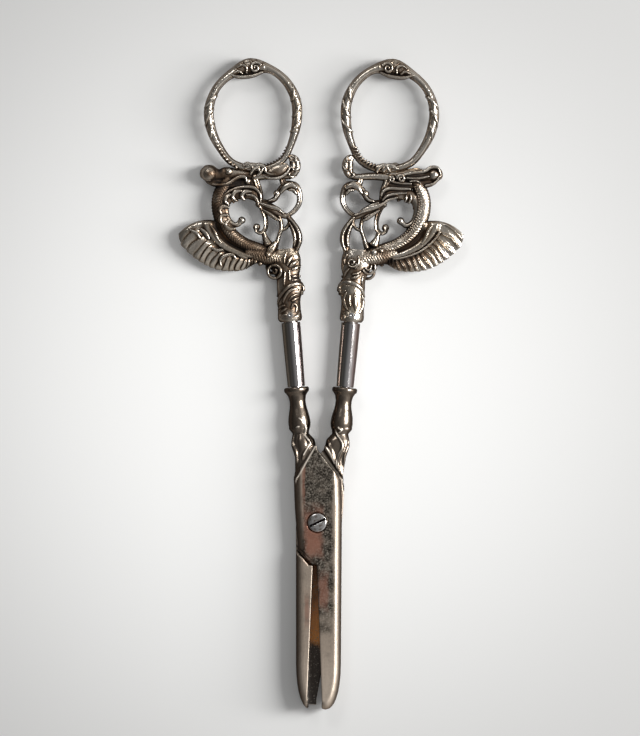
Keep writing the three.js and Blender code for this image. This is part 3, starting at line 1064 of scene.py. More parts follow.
@dataclass(frozen=True)
class BladePlate(Finish):
    """Worn plate on the blades: beige where smooth, specked round the joint, copper where worn through.

    Attributes:
        specked: How far the specks have spread.
        smooth: Colour of the smooth plate.
        dull: Colour of its dull clouds.
        shank: Colour of the glossy shank and collar.
        specks: Colours of the corroded plate.
        copper: Colour where the plate is worn through.
        tarnish_and_shade_colour: Colour of the tarnish in the hollows, and of the painted shade on the flanks
            and along the heel.
        edge: Colour of the painted highlights along the gable and along the folds of the shank.
        gable: Direction out of each gable line, where the shanks begin, and its distance in millimetres.
        bare: Place, half-width, half-length in millimetres and strength of the patches worn through.
    """

    specked: float = 1.0
    smooth: Colour = (0.87, 0.735, 0.60)
    dull: Colour = (0.36, 0.275, 0.21)
    shank: Colour = (0.33, 0.27, 0.215)
    specks: Palette = (
        (0.34, (0.022, 0.019, 0.016)),
        (0.5, (0.13, 0.112, 0.09)),
        (0.68, (0.48, 0.425, 0.355)),
    )
    copper: Colour = (0.55, 0.265, 0.185)
    tarnish_and_shade_colour: Colour = (0.09, 0.062, 0.046)
    edge: Colour = (0.95, 0.86, 0.74)
    gable: Run = ((-0.872, 0.490, 10.45), (0.804, 0.594, 11.95))
    bare: Run = (
        (-1.1, -2.7, 3.5, 8.8, 0.85), (-3.7, 10.3, 0.65, 8.0, 0.6), (1.6, -18.5, 1.9, 6.5, 0.65),
        (-2.8, -23.5, 0.9, 6.0, 0.55),
    )

    def worn_through(self, tree: Canvas) -> Socket:
        """Masks the patches where the copper shows.

        Args:
            tree: Tree of the material.

        Returns:
            The mask.
        """
        ragged = tree.noise(tree.place, Noise.PATCH, 8.0)
        mask: Any = 0.0
        for x, y, wide, long, strength in self.bare:
            patch = tree.add("ShaderNodeMapping", {"vector_type": "TEXTURE"}, Vector=tree.place,
                             Location=(x * MM, y * MM, 0.0), Scale=(wide * MM, long * MM, 1.0))
            off = tree.parts(tree.vectors("ABSOLUTE", patch.outputs[0]).outputs[0])
            edge = tree.maths("MULTIPLY_ADD", ragged, 0.9, tree.maths("MAXIMUM", off[0], off[1]))
            mask = tree.maths("MAXIMUM", tree.span(edge, 0.75, 1.4, strength, 0.0), mask)
        return mask

    def beyond_gable(self, tree: Canvas) -> Socket:
        """Measures how far a place lies beyond the gable lines, where the shanks begin.

        Args:
            tree: Tree of the material.

        Returns:
            The distance, negative on the plate.
        """
        far: Any = -1.0
        for x, y, distance in self.gable:
            along = tree.vectors("DOT_PRODUCT", tree.place, (x, y, 0.0)).outputs["Value"]
            far = tree.maths("MAXIMUM", tree.maths("SUBTRACT", along, distance * MM), far)
        return far

    def specked_zone(self, tree: Canvas) -> Socket:
        """Masks the specked face between the ridges, which clears up towards the noses.

        Args:
            tree: Tree of the material.

        Returns:
            The mask.
        """
        x, y, _ = tree.parts(tree.place)
        zone = tree.maths("MULTIPLY", tree.span(y, -0.044, -0.016), self.specked)
        zone = tree.maths("MULTIPLY", zone, tree.span(x, -0.0048, -0.0032))
        zone = tree.maths("MULTIPLY", zone, tree.span(x, 0.0036, 0.0052, 1.0, 0.0))
        patch = tree.noise(tree.place, Noise.PATCH, 8.0)
        return tree.span(tree.maths("MULTIPLY_ADD", patch, 1.3, zone), 0.9, 1.75)

    def paint(self, tree: Canvas) -> None:
        """Lays clouds, specks, copper, shank, tarnish with painted shade, painted highlights and painted
        shade on the flanks over one another.

        Args:
            tree: Tree of the material.
        """
        far = self.beyond_gable(tree)
        above = tree.span(far, -0.0002, 0.0003)
        speck = tree.noise(tree.place, Noise.SPECK, 3.0)
        worn = tree.wear(0.2)
        nose = tree.span(tree.parts(tree.place)[1], -0.044, -0.03, -0.25, 0.14)
        cloud = tree.maths("MAXIMUM", tree.maths("MULTIPLY_ADD", worn["Grain"], 0.55, nose), 0.0)
        # Painted highlights: a bright line along the gable and lines along the folds of the shank
        line = tree.span(tree.maths("ABSOLUTE", far), 0.0001, 0.0003, 0.9, 0.0)
        line = tree.maths("MAXIMUM", line, tree.span(tree.stored(PAINTED_HIGHLIGHT), 0.35, 1.0, 0.0, 0.95))
        # Painted shade on the flanks, darkest on those that face left
        side = tree.stored(FACING)
        left, right = tree.span(side, 0.05, 0.36, 0.95, 0.0), tree.span(side, 0.72, 0.95, 0.0, 0.66)
        colour: Any = self.smooth
        for mask, over in (
            (cloud, self.dull),
            (self.specked_zone(tree), tree.ramp(self.specks, speck)),
            (self.worn_through(tree), self.copper),
            (above, self.shank),
            # Tarnish in the hollows, with painted shade on upright flanks and along the heel
            (tree.tarnish(1.5, 0.35), self.tarnish_and_shade_colour),
            # Painted highlights
            (line, self.edge),
            # Painted shade on the flanks
            (tree.maths("MAXIMUM", left, right), self.tarnish_and_shade_colour),
        ):
            colour = tree.blend(mask, colour, over)
        gloss = tree.maths("MULTIPLY_ADD", worn["Scratches"], 0.14, 0.34)
        gloss = tree.maths("MULTIPLY_ADD", above, -0.17, gloss)
        tree.coat(
            Base_Color=colour,
            Metallic=1.0,
            Roughness=tree.maths("MULTIPLY_ADD", line, 0.2, gloss),
            Normal=tree.emboss(speck, 0.12, 0.0001),
        )


@dataclass(frozen=True)
class LedgeSteel(Finish):
    """Bare steel of the ledge that holds the stem, browned by fruit juice.

    Attributes:
        palette: Colours from the nose to the heel.
        flecks: Colour of the bright flecks in it.
    """

    palette: Palette = (
        (0.0, (0.06, 0.052, 0.046)),
        (0.42, (0.09, 0.07, 0.055)),
        (0.5, (0.92, 0.40, 0.12)),
        (0.68, (0.78, 0.33, 0.12)),
        (0.82, (0.42, 0.19, 0.085)),
    )
    flecks: Colour = (0.42, 0.38, 0.33)

    def paint(self, tree: Canvas) -> None:
        """Browns the ledge from its nose to its heel.

        Args:
            tree: Tree of the material.
        """
        patch = tree.noise(tree.place, Noise.PATCH, 6.0)
        grain = tree.noise(tree.place, Noise.SPECK, 4.0)
        y = tree.parts(tree.place)[1]
        along = tree.add("ShaderNodeMapRange", Value=y, From_Min=-0.05, From_Max=-0.011)
        swing = tree.maths("MULTIPLY_ADD", patch, 0.2, along.outputs[0])
        swing = tree.maths("MULTIPLY_ADD", grain, 0.1, swing)
        colour = tree.ramp(self.palette, tree.maths("SUBTRACT", swing, 0.15))
        tree.coat(
            Base_Color=tree.blend(tree.span(grain, 0.55, 0.75), colour, self.flecks),
            Metallic=tree.span(grain, 0.35, 0.65, 0.1, 0.5),
            Roughness=tree.maths("MULTIPLY_ADD", patch, 0.35, 0.3),
            Normal=tree.emboss(grain, 0.6, 0.0002),
        )


@dataclass(frozen=True)
class BareSteel(Finish):
    """Bright steel of the screw and pins with turning marks.

    Attributes:
        bright: Colour of the clean steel.
        stained: Colour of its stains.
        sunk: Colour of the slot and the sheltered places round the head.
    """

    bright: Colour = (0.72, 0.70, 0.68)
    stained: Colour = (0.34, 0.28, 0.23)
    sunk: Colour = (0.02, 0.016, 0.014)

    def paint(self, tree: Canvas) -> None:
        """Stains the steel and darkens its hollows.

        Args:
            tree: Tree of the material.
        """
        worn = tree.wear(0.35)
        colour = tree.blend(tree.span(worn["Grain"], 0.5, 0.72), self.bright, self.stained)
        tree.coat(
            Base_Color=tree.blend(tree.span(tree.stored(TARNISH_AND_SHADE), 0.08, 0.3), colour, self.sunk),
            Metallic=1.0,
            Roughness=tree.maths("MULTIPLY_ADD", worn["Scratches"], 0.25, 0.1),
            Normal=tree.emboss(worn["Scratches"], 0.2, 0.00006),
        )


@dataclass(frozen=True)
class PaleFloor(Finish):
    """A floor with a painted pool of light, palest under the scissors, that the metal mirrors darker.

    Attributes:
        middle: Middle of the painted pool of light, where the floor is palest.
        colours: Colour there and far out, where the painted pool of light has faded.
        mirrored: Colour as the metal mirrors it.
        glow: Light that the floor itself adds to what the camera sees.
    """

    middle: Point = (-0.01731, 0.03714, 0.0)
    colours: tuple[Colour, Colour] = ((0.97, 0.97, 0.955), (0.585, 0.582, 0.572))
    mirrored: Colour = (0.22, 0.20, 0.185)
    glow: float = 0.08

    def paint(self, tree: Canvas) -> None:
        """Paints a pool of light that fades outwards, and darkens the floor for every ray but the camera's.

        Args:
            tree: Tree of the material.
        """
        off = tree.vectors("DISTANCE", tree.place, self.middle).outputs["Value"]
        # Painted pool of light, palest under the scissors
        seen = tree.blend(tree.span(off, 0.01, 0.15), *self.colours)
        camera = tree.add("ShaderNodeLightPath").outputs["Is Camera Ray"]
        tree.coat(
            Base_Color=tree.blend(camera, self.mirrored, seen),
            Emission_Color=seen,
            Emission_Strength=tree.maths("MULTIPLY", camera, self.glow),
            Roughness=0.9,
            Specular_IOR_Level=0.1,
        )


# Places of the arms and handles


@dataclass(frozen=True)
class Arm:
    """Where the pieces of the arm on one side stand when it is opened by some degrees."""

    side: Side
    opening: float

    @property
    def body(self) -> str:
        """Name of the body that the arm's pieces move with."""
        return f"{self.side.value}_arm"

    def blades(self) -> Matrix:
        """Place of the blade's shapes, in metres."""
        turn = Matrix.Rotation(math.radians(self.opening), 4, "Z")
        return Matrix.Scale(MM, 4) @ turn @ Matrix.Translation((PIVOT_OFFSET, 0, HALF_THICKNESS))

    def stem(self) -> Matrix:
        """Place of the shaft's shapes, from the mouth of the collar."""
        return self.side.stem(self.blades())

    def grip(self) -> Matrix:
        """Place of the handle's shapes, from the mouth of its knuckle."""
        return self.stem() @ Matrix.Translation((0, SHAFT_LENGTH, 0))


def finish_piece(thing: Thing, node: str, place: Matrix, materials: Sequence[Material],
                 crease: float) -> Thing:
    """Sets a shape in its place, with its shading and materials.

    Args:
        thing: Shape in millimetres.
        node: Solid that it stands for.
        place: Its place, in metres.
        materials: Its materials.
        crease: Angle in degrees past which an edge is sharp.

    Returns:
        The finished piece.
    """
    mesh = thing.data
    keep_largest(mesh)
    mesh.transform(place)
    thing.name = mesh.name = f"{node}_dressed"
    mesh.materials.clear()
    for material in materials:
        mesh.materials.append(material)
    mesh.shade_smooth()
    mesh.set_sharp_from_angle(angle=math.radians(crease))
    return thing


def face_ride(thing: Thing, body: str, node: str) -> None:
    """Hands a finished piece to the frame.

    Args:
        thing: Finished piece, in metres.
        body: Body that it moves with.
        node: Solid that it stands for.
    """
    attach(thing, body)
    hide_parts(node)
    LOG.info("%s: %d faces on %s", thing.name, len(thing.data.polygons), body)


# Handles


@dataclass
class FingerBow:
    """An oval ring with a cartouche at its crown, twisted leaves at its sides and a thin foot.

    Attributes:
        run: Points of place and half-width, from the crown.
        depth: Half-depth.
        twists: Runs of the twisted leaves.
        pearls: Run of the pearls on the front.
        gadroons: Run of the gadroons on the back.
        lens: Run of the cartouche.
        lift: How far its curls stand off the parting plane.
        curls: Run, half-depth and share of that lift of the curls on the cartouche and the foot.
    """

    run: Run = (
        (-5.0, 68.5, 2.4), (-9.8, 67.3, 1.3), (-14.4, 63.7, 1.1), (-16.9, 58.2, 1.3), (-16.7, 52.6, 1.3),
        (-14.8, 47.6, 1.0), (-12.1, 43.7, 0.92), (-7.4, 41.6, 0.92), (-2.5, 41.3, 0.87), (1.6, 43.1, 0.82),
        (4.2, 47.3, 0.92), (6.1, 52.8, 1.3), (6.4, 58.6, 1.35), (4.2, 63.9, 1.2), (0.2, 67.5, 1.2),
    )
    depth: float = 1.45
    twists: tuple[Run, ...] = (
        ((-15.2, 62.4, 1.1), (-16.9, 58.2, 1.3), (-17.0, 54.0, 1.3), (-16.2, 50.6, 1.1)),
        ((4.9, 49.4, 1.0), (6.1, 52.8, 1.3), (6.4, 58.6, 1.35), (5.0, 62.6, 1.2)),
    )
    pearls: Run = ((-15.9, 49.4), (-14.7, 46.6), (-12.9, 43.9), (-11.0, 42.2))
    gadroons: Run = ((3.4, 46.3), (1.5, 43.6), (-1.0, 42.2), (-3.8, 41.6), (-6.6, 41.7))
    lens: Run = (
        (-9.2, 67.3, 1.3), (-7.0, 68.2, 1.9), (-5.0, 68.5, 2.3), (-2.8, 68.4, 1.8), (-0.8, 67.8, 1.3),
    )
    lift: float = 1.25
    curls: tuple[tuple[Run, float, float], ...] = (
        (spiral((-3.6, 68.2), 1.6, 0.3, 1.5, 20, (0.5, 0.34)), 0.75, 1.0),
        (((-8.6, 68.6, 0.25), (-7.2, 69.2, 0.45), (-6.0, 68.5, 0.5), (-6.1, 67.0, 0.3)), 0.75, 1.0),
        (((-9.6, 67.2, 0.25), (-8.2, 67.7, 0.45), (-7.2, 66.9, 0.3)), 0.7, 1.0),
        (((-10.6, 67.0, 0.3), (-8.2, 66.15, 0.5), (-4.7, 66.1, 0.5), (-1.7, 66.9, 0.3)), 0.6, 0.9),
        (((-8.7, 41.7, 0.4), (-7.2, 42.3, 0.75), (-5.6, 42.0, 0.7), (-4.9, 40.8, 0.5)), 0.7, 0.8),
        (((-6.6, 40.9, 0.4), (-5.2, 42.3, 0.6), (-3.6, 41.6, 0.6), (-3.2, 40.4, 0.4)), 0.65, 0.95),
    )

    def ring(self) -> Thing:
        """Sweeps the ring, with a groove along each rim.

        Returns:
            The ring.
        """
        run = smooth_run(self.run, 0.21, closed=True)
        flat, width = run[:, :2], run[:, 2:]
        ahead = np.roll(flat, -1, axis=0) - np.roll(flat, 1, axis=0)
        ahead /= np.linalg.norm(ahead, axis=1)[:, None]
        angle = around(44)
        foot = 1 / (1 + np.exp((flat[:, 1:] - 49.0) / 1.2))
        groove = np.exp(-(((np.abs(np.cos(angle)) - 0.68) / 0.13) ** 2))
        swell = 1 - 0.1 * (1 - foot) * groove + foot * 0.06 * np.cos(6 * angle)
        rise = np.sin(angle) * swell * (self.depth - 0.25 * foot)
        return swept(flat, ahead, width * np.cos(angle) * swell, rise, closed=True).thing("bow")

    def cartouche(self) -> list[Thing]:
        """Makes the scrolls of the cartouche, the twisted leaves and the curls of the foot, on both faces.

        Returns:
            Shapes to join to the ring.
        """
        bars = []
        for face in Face:
            bars += crescents(self.lens, 6, 1.2 * face.value, (0.95, -0.1), 0.5, (0.34, 0.4))
            for run in self.twists:
                bars += crescents(run, 3, 1.15 * face.value, (0.95, -0.9), 3.4, (0.62, 0.65))
            bars += [Bar(run, depth, lift=share * self.lift * face.value) for run, depth, share in self.curls]
        return shapes_of(bars, "curl")

    def build(self, lobes: Lobes) -> Thing:
        """Makes the whole bow in the handle's own frame.

        Args:
            lobes: Layer of the rows.

        Returns:
            The bow, in millimetres.
        """
        parts = self.cartouche()
        parts.append(lobes.lay(self.pearls, 1.12, (1.02, 0.47, 0.47, 0.47, 0.0)))
        parts.append(lobes.lay(self.gadroons, -0.95, (0.86, 1.0, 0.36, 0.75, 0.5)))
        return merged(self.ring(), parts, Merge.JOIN)


@dataclass
class Wing:
    """A wing with a rolled root and ribs that fan out to its scalloped edge.

    Attributes:
        root: Run along the neck.
        edge: Run along the ends of the ribs.
        ribs: Number of ribs.
        bow: Bend of the ribs, as a share of their length.
        swell: Share of the way from root to edge and half-depth between the ribs there.
    """

    root: Run = ((-7.7, 18.6), (-11.4, 20.8), (-14.7, 23.3), (-16.4, 26.0), (-16.9, 28.4))
    edge: Run = (
        (-8.3, 16.1), (-11.2, 14.9), (-15.0, 14.9), (-19.2, 16.0), (-23.2, 18.6), (-26.4, 21.9),
        (-28.5, 25.2),
    )
    ribs: int = 14
    bow: float = 0.15
    swell: Run = (
        (0.0, 1.5), (0.09, 0.7), (0.2, 1.7), (0.3, 1.75), (0.4, 0.95), (0.6, 0.85), (0.85, 0.45), (1.0, 0.12),
    )

    def plan(self, u: Array, v: Array) -> Array:
        """Gives places on the wing's plan.

        Args:
            u: Shares of the way along the neck, from the chest to the tip.
            v: Shares of the way from the root to the edge, one for each u.

        Returns:
            The places.
        """
        ends = []
        for line in (self.root, self.edge):
            run = smooth_run(line, 0.05)
            at = np.linspace(0, 1, len(run))
            ends.append(np.stack([np.interp(u, at, column) for column in run.T], axis=-1))
        way = ends[1] - ends[0]
        lean = np.stack([way[..., 1], -way[..., 0]], axis=-1)
        return ends[0] + way * v[..., None] + lean * (self.bow * u * 4 * v * (1 - v))[..., None]

    def crest(self, u: Array, face: Face) -> Array:
        """Gives the ribs' profile, from 0 in the channels to 1 on the crests.

        Args:
            u: Shares of the way along the neck.
            face: Front with broad ribs or back with thin ones.

        Returns:
            The profile.
        """
        turn = (self.ribs * u * (1.25 - 0.25 * u) + 0.15 * np.sin(11 * u)) % 1
        if face is Face.FRONT:
            return turn**0.6 * np.sqrt(np.clip((1 - turn) / 0.16, 0, 1))
        return np.exp(-(((turn - 0.5) / 0.15) ** 2))

    def height(self, u: Array, v: Array, face: Face) -> Array:
        """Gives how far one face stands off the parting plane.

        Args:
            u: Shares of the way along the neck.
            v: Shares of the way from the root to the edge.
            face: Front or back.

        Returns:
            The heights.
        """
        run = smooth_run(self.swell, 0.01)
        base = np.interp(v, run[:, 0], run[:, 1])
        start = np.clip((v - 0.36 - 0.1 * u) / 0.1, 0, 1)
        fade = np.sqrt(np.clip(1 - np.clip((v - 0.82) / 0.18, 0, 1) ** 2, 0, 1))
        tip = np.sqrt(np.clip(1 - np.clip((u - 0.93) / 0.07, 0, 1) ** 2, 0.06, 1))
        rise = (0.7 if face is Face.FRONT else 0.8) * (0.85 + 0.15 * np.sin(31 * u))
        sway = np.clip(u + 0.008 * np.sin(8 * v + 20 * u), 0, 1)
        return tip * (base + rise * self.crest(sway, face) * np.sqrt(start) * fade)

    def body(self) -> Thing:
        """Makes the ribbed wing.

        Returns:
            The shape.
        """
        u, v = np.meshgrid(np.linspace(0, 1, 240), np.linspace(0, 1, 44), indexing="ij")
        blunt = 1 - 0.1 * np.clip((u - 0.88) / 0.12, 0, 1) ** 2
        plan = self.plan(u, v * blunt * (1 + 0.035 * self.crest(u, Face.FRONT)))
        front, back = (
            np.concatenate([plan, face.value * self.height(u, v, face)[..., None]], axis=2) for face in Face
        )
        rings = np.concatenate([back, front[:, ::-1]], axis=1)
        return skin_over(*rings.transpose(2, 0, 1)).thing("wing")

    def plumes(self) -> list[Bar]:
        """Gives the plume along the ribs' inner ends, the fold beside the neck and the curled leaf.

        Returns:
            The bars.
        """
        u = np.linspace(0.1, 0.86, 9)
        inner = tuple((x, y, 0.34) for x, y in self.plan(u, 0.37 + 0.07 * u))
        fold = ((-19.2, 27.4, 0.25), (-18.3, 25.8, 0.45), (-17.7, 24.0, 0.5), (-16.8, 22.4, 0.3))
        bars = [Bar(inner, 0.5, lift=-1.25), Bar(fold, 0.5, lift=1.7), Bar(fold, 0.5, lift=-1.7)]
        arch = (
            (-17.3, 16.2, 0.25), (-17.2, 18.0, 0.4), (-15.9, 19.0, 0.5), (-13.9, 19.0, 0.45),
            (-13.1, 17.8, 0.3),
        )
        lumps = (
            ((-21.8, 26.6, 0.4), (-20.6, 25.4, 0.6), (-19.8, 23.8, 0.4)),
            ((-19.4, 21.4, 0.3), (-18.0, 20.6, 0.5), (-16.4, 20.6, 0.35)),
            ((-24.6, 26.6, 0.3), (-23.0, 25.6, 0.5), (-22.2, 24.2, 0.3)),
            ((-12.6, 18.9, 0.3), (-11.4, 18.3, 0.45), (-10.2, 17.8, 0.3)),
        )
        return bars + [Bar(arch, 0.55, lift=1.45)] + [Bar(run, 0.5, lift=1.35) for run in lumps]


@dataclass
class Knuckle:
    """The foliate swelling that takes the shaft.

    Attributes:
        radius: Radius at its mouth.
        rings: Place, half-width and half-depth up the shaft's axis, as shares of the radius.
        front: The wrapped leaf, the bars and the leaf domes of the front.
        back: The rosettes, the band and the shield of the back.
    """

    radius: float = 3.1
    rings: Run = (
        (0.0, 0.0, 0.88, 0.86), (-0.1, 0.6, 1.02, 0.95), (-0.1, 3.2, 0.99, 0.82), (0.1, 5.8, 0.98, 0.8),
        (0.6, 8.8, 1.14, 0.8), (0.2, 11.7, 1.0, 0.72), (0.0, 14.2, 1.26, 0.72), (-0.2, 17.3, 1.34, 0.66),
        (0.0, 19.4, 1.0, 0.55),
    )
    front: tuple[Bar, ...] = (
        Bar(((-3.0, 4.9, 0.3), (-2.3, 6.6, 0.5), (-1.0, 8.2, 0.55), (0.5, 9.4, 0.6), (2.4, 9.8, 0.6),
            (3.9, 9.1, 0.5), (4.1, 7.9, 0.4)), 0.75),
        Bar(((-1.6, 5.2, 0.3), (-0.9, 6.7, 0.45), (0.0, 7.8, 0.5), (1.4, 8.5, 0.45), (2.7, 8.4, 0.3)), 0.7),
        Bar(((0.0, 5.6, 0.25), (1.0, 6.6, 0.4), (2.4, 7.2, 0.3)), 0.6),
        Bar(((3.5, 7.7, 0.6), (3.4, 7.1, 0.6)), 0.8),
        Bar(((-3.0, 3.4, 0.25), (-2.2, 4.1, 0.45), (-1.3, 4.4, 0.3)), 0.65),
        Bar(((-2.6, 2.4, 0.25), (-1.6, 3.1, 0.45), (-0.7, 3.5, 0.3)), 0.65),
        Bar(((-2.5, 1.2, 0.3), (-1.5, 1.8, 0.5), (-0.4, 1.6, 0.35)), 0.55),
        Bar(((0.4, 3.5, 0.3), (1.2, 4.6, 0.45), (1.9, 3.9, 0.45), (1.6, 2.3, 0.35)), 0.65),
        Bar(((0.8, 5.4, 0.45), (1.6, 5.8, 0.5), (2.6, 6.2, 0.4)), 0.65),
        Bar(((1.1, 1.0, 0.4), (1.9, 1.4, 0.6), (2.5, 2.4, 0.4)), 0.5),
        Bar(((1.5, 11.9, 0.4), (2.5, 11.9, 0.5), (3.5, 11.8, 0.35)), 0.7),
        Bar(((1.2, 10.9, 0.3), (2.3, 10.9, 0.4), (3.5, 10.7, 0.3)), 0.6),
        Bar(((0.7, 10.9, 0.3), (0.7, 12.2, 0.4), (0.8, 13.6, 0.35)), 0.65),
        Bar(((-0.9, 9.9, 0.3), (-0.7, 11.5, 0.4), (-0.4, 13.2, 0.35)), 0.6),
        Bar(((0.3, 15.0, 0.4), (1.0, 16.2, 0.6), (2.0, 17.4, 0.4)), 0.8),
        Bar(((0.9, 14.5, 0.4), (2.1, 15.4, 0.65), (3.4, 16.3, 0.45)), 0.85),
        Bar(((1.7, 13.7, 0.5), (2.8, 14.2, 0.65), (3.7, 14.8, 0.45)), 0.75),
        Bar(((-0.4, 15.6, 0.3), (-0.2, 17.0, 0.45), (0.5, 18.4, 0.3)), 0.7),
        Bar(spiral((-3.2, 13.6), 1.75, 1.75, 1.0, 100, (0.42, 0.42)), 0.65, lift=0.5),
        Bar(spiral((-3.2, 13.6), 0.75, 0.3, -0.7, 60, (0.36, 0.3)), 0.6, lift=0.35),
    )
    back: tuple[Bar, ...] = (
        Bar(((-0.3, 7.4, 0.3), (-0.5, 6.0, 0.65), (-0.7, 4.6, 0.7), (-1.0, 3.0, 0.3)), 0.75),
        Bar(((2.0, 7.5, 0.35), (2.4, 6.0, 0.5), (2.1, 4.6, 0.5), (1.3, 3.2, 0.35)), 0.75),
        Bar(((-2.3, 7.2, 0.35), (-2.7, 5.6, 0.5), (-2.6, 4.0, 0.5), (-2.0, 2.6, 0.35)), 0.75),
        Bar(((0.9, 7.0, 0.25), (0.9, 5.6, 0.42), (0.5, 4.2, 0.25)), 0.65),
        Bar(((2.4, 2.3, 0.3), (1.8, 1.2, 0.5), (2.0, 0.6, 0.3)), 0.6),
        Bar(((-2.8, 6.9, 0.4), (-1.9, 8.8, 0.65), (-0.3, 10.0, 0.7), (1.6, 10.4, 0.7), (3.3, 10.0, 0.6),
            (3.9, 8.8, 0.5), (3.2, 7.6, 0.4), (2.3, 8.1, 0.35)), 0.7),
        Bar(spiral((1.2, 15.7), 1.35, 0.4, 1.3, 190, (0.42, 0.32)), 0.75),
        Bar(((-0.4, 17.6, 0.3), (-0.6, 15.8, 0.45), (0.2, 14.2, 0.35)), 0.7),
        Bar(spiral((-3.3, 14.8), 1.9, 1.5, 0.5, 150, (0.45, 0.35)), 0.7, lift=-0.3),
        Bar(spiral((-3.1, 14.9), 1.0, 0.6, 0.5, 150, (0.4, 0.3)), 0.7, lift=-0.35),
        Bar(((-1.4, 13.6, 0.3), (-0.4, 12.9, 0.45), (0.9, 12.6, 0.3)), 0.7),
        Bar(((-1.0, 12.6, 0.35), (-0.1, 11.9, 0.55), (1.0, 11.5, 0.3)), 0.75),
        Bar(((1.9, 14.0, 0.3), (2.6, 13.0, 0.45), (2.9, 11.8, 0.3)), 0.7),
        Bar(((-2.1, 12.5, 0.3), (-1.9, 11.3, 0.4), (-2.0, 10.2, 0.3)), 0.65),
        Bar(((2.6, 17.8, 0.3), (3.2, 16.6, 0.45), (3.1, 15.2, 0.3)), 0.65),
    )

    def height(self, face: Face, x: Array, y: Array) -> Array:
        """Gives the height of one face at some places.

        Args:
            face: Front or back.
            x: Places across the shaft's axis.
            y: Places along it.

        Returns:
            The heights.
        """
        rows = np.asarray(self.rings)
        middle, wide, deep = (np.interp(y, rows[:, 1], rows[:, i]) for i in (0, 2, 3))
        off = np.clip((x - middle) / (wide * self.radius), -0.97, 0.97)
        return face.value * (deep * self.radius * np.sqrt(1 - off**2) - 0.15)

    def build(self) -> Thing:
        """Makes the plain swelling.

        Returns:
            The shape.
        """
        line = smooth_run([(y, x, w, d) for x, y, w, d in self.rings], 0.3)
        angle = around(56)
        x = line[:, 1:2] - line[:, 2:3] * self.radius * np.cos(angle)
        z = line[:, 3:4] * self.radius * np.sin(angle)
        return skin_over(x, line[:, :1], z).thing("knuckle")

    def leaves(self) -> list[Thing]:
        """Lays the leaves, bands and volutes over both faces."""
        faces = ((Face.FRONT, self.front), (Face.BACK, self.back))
        return [shape for face, bars in faces
                for shape in shapes_of(bars, "leaf", partial(self.height, face))]


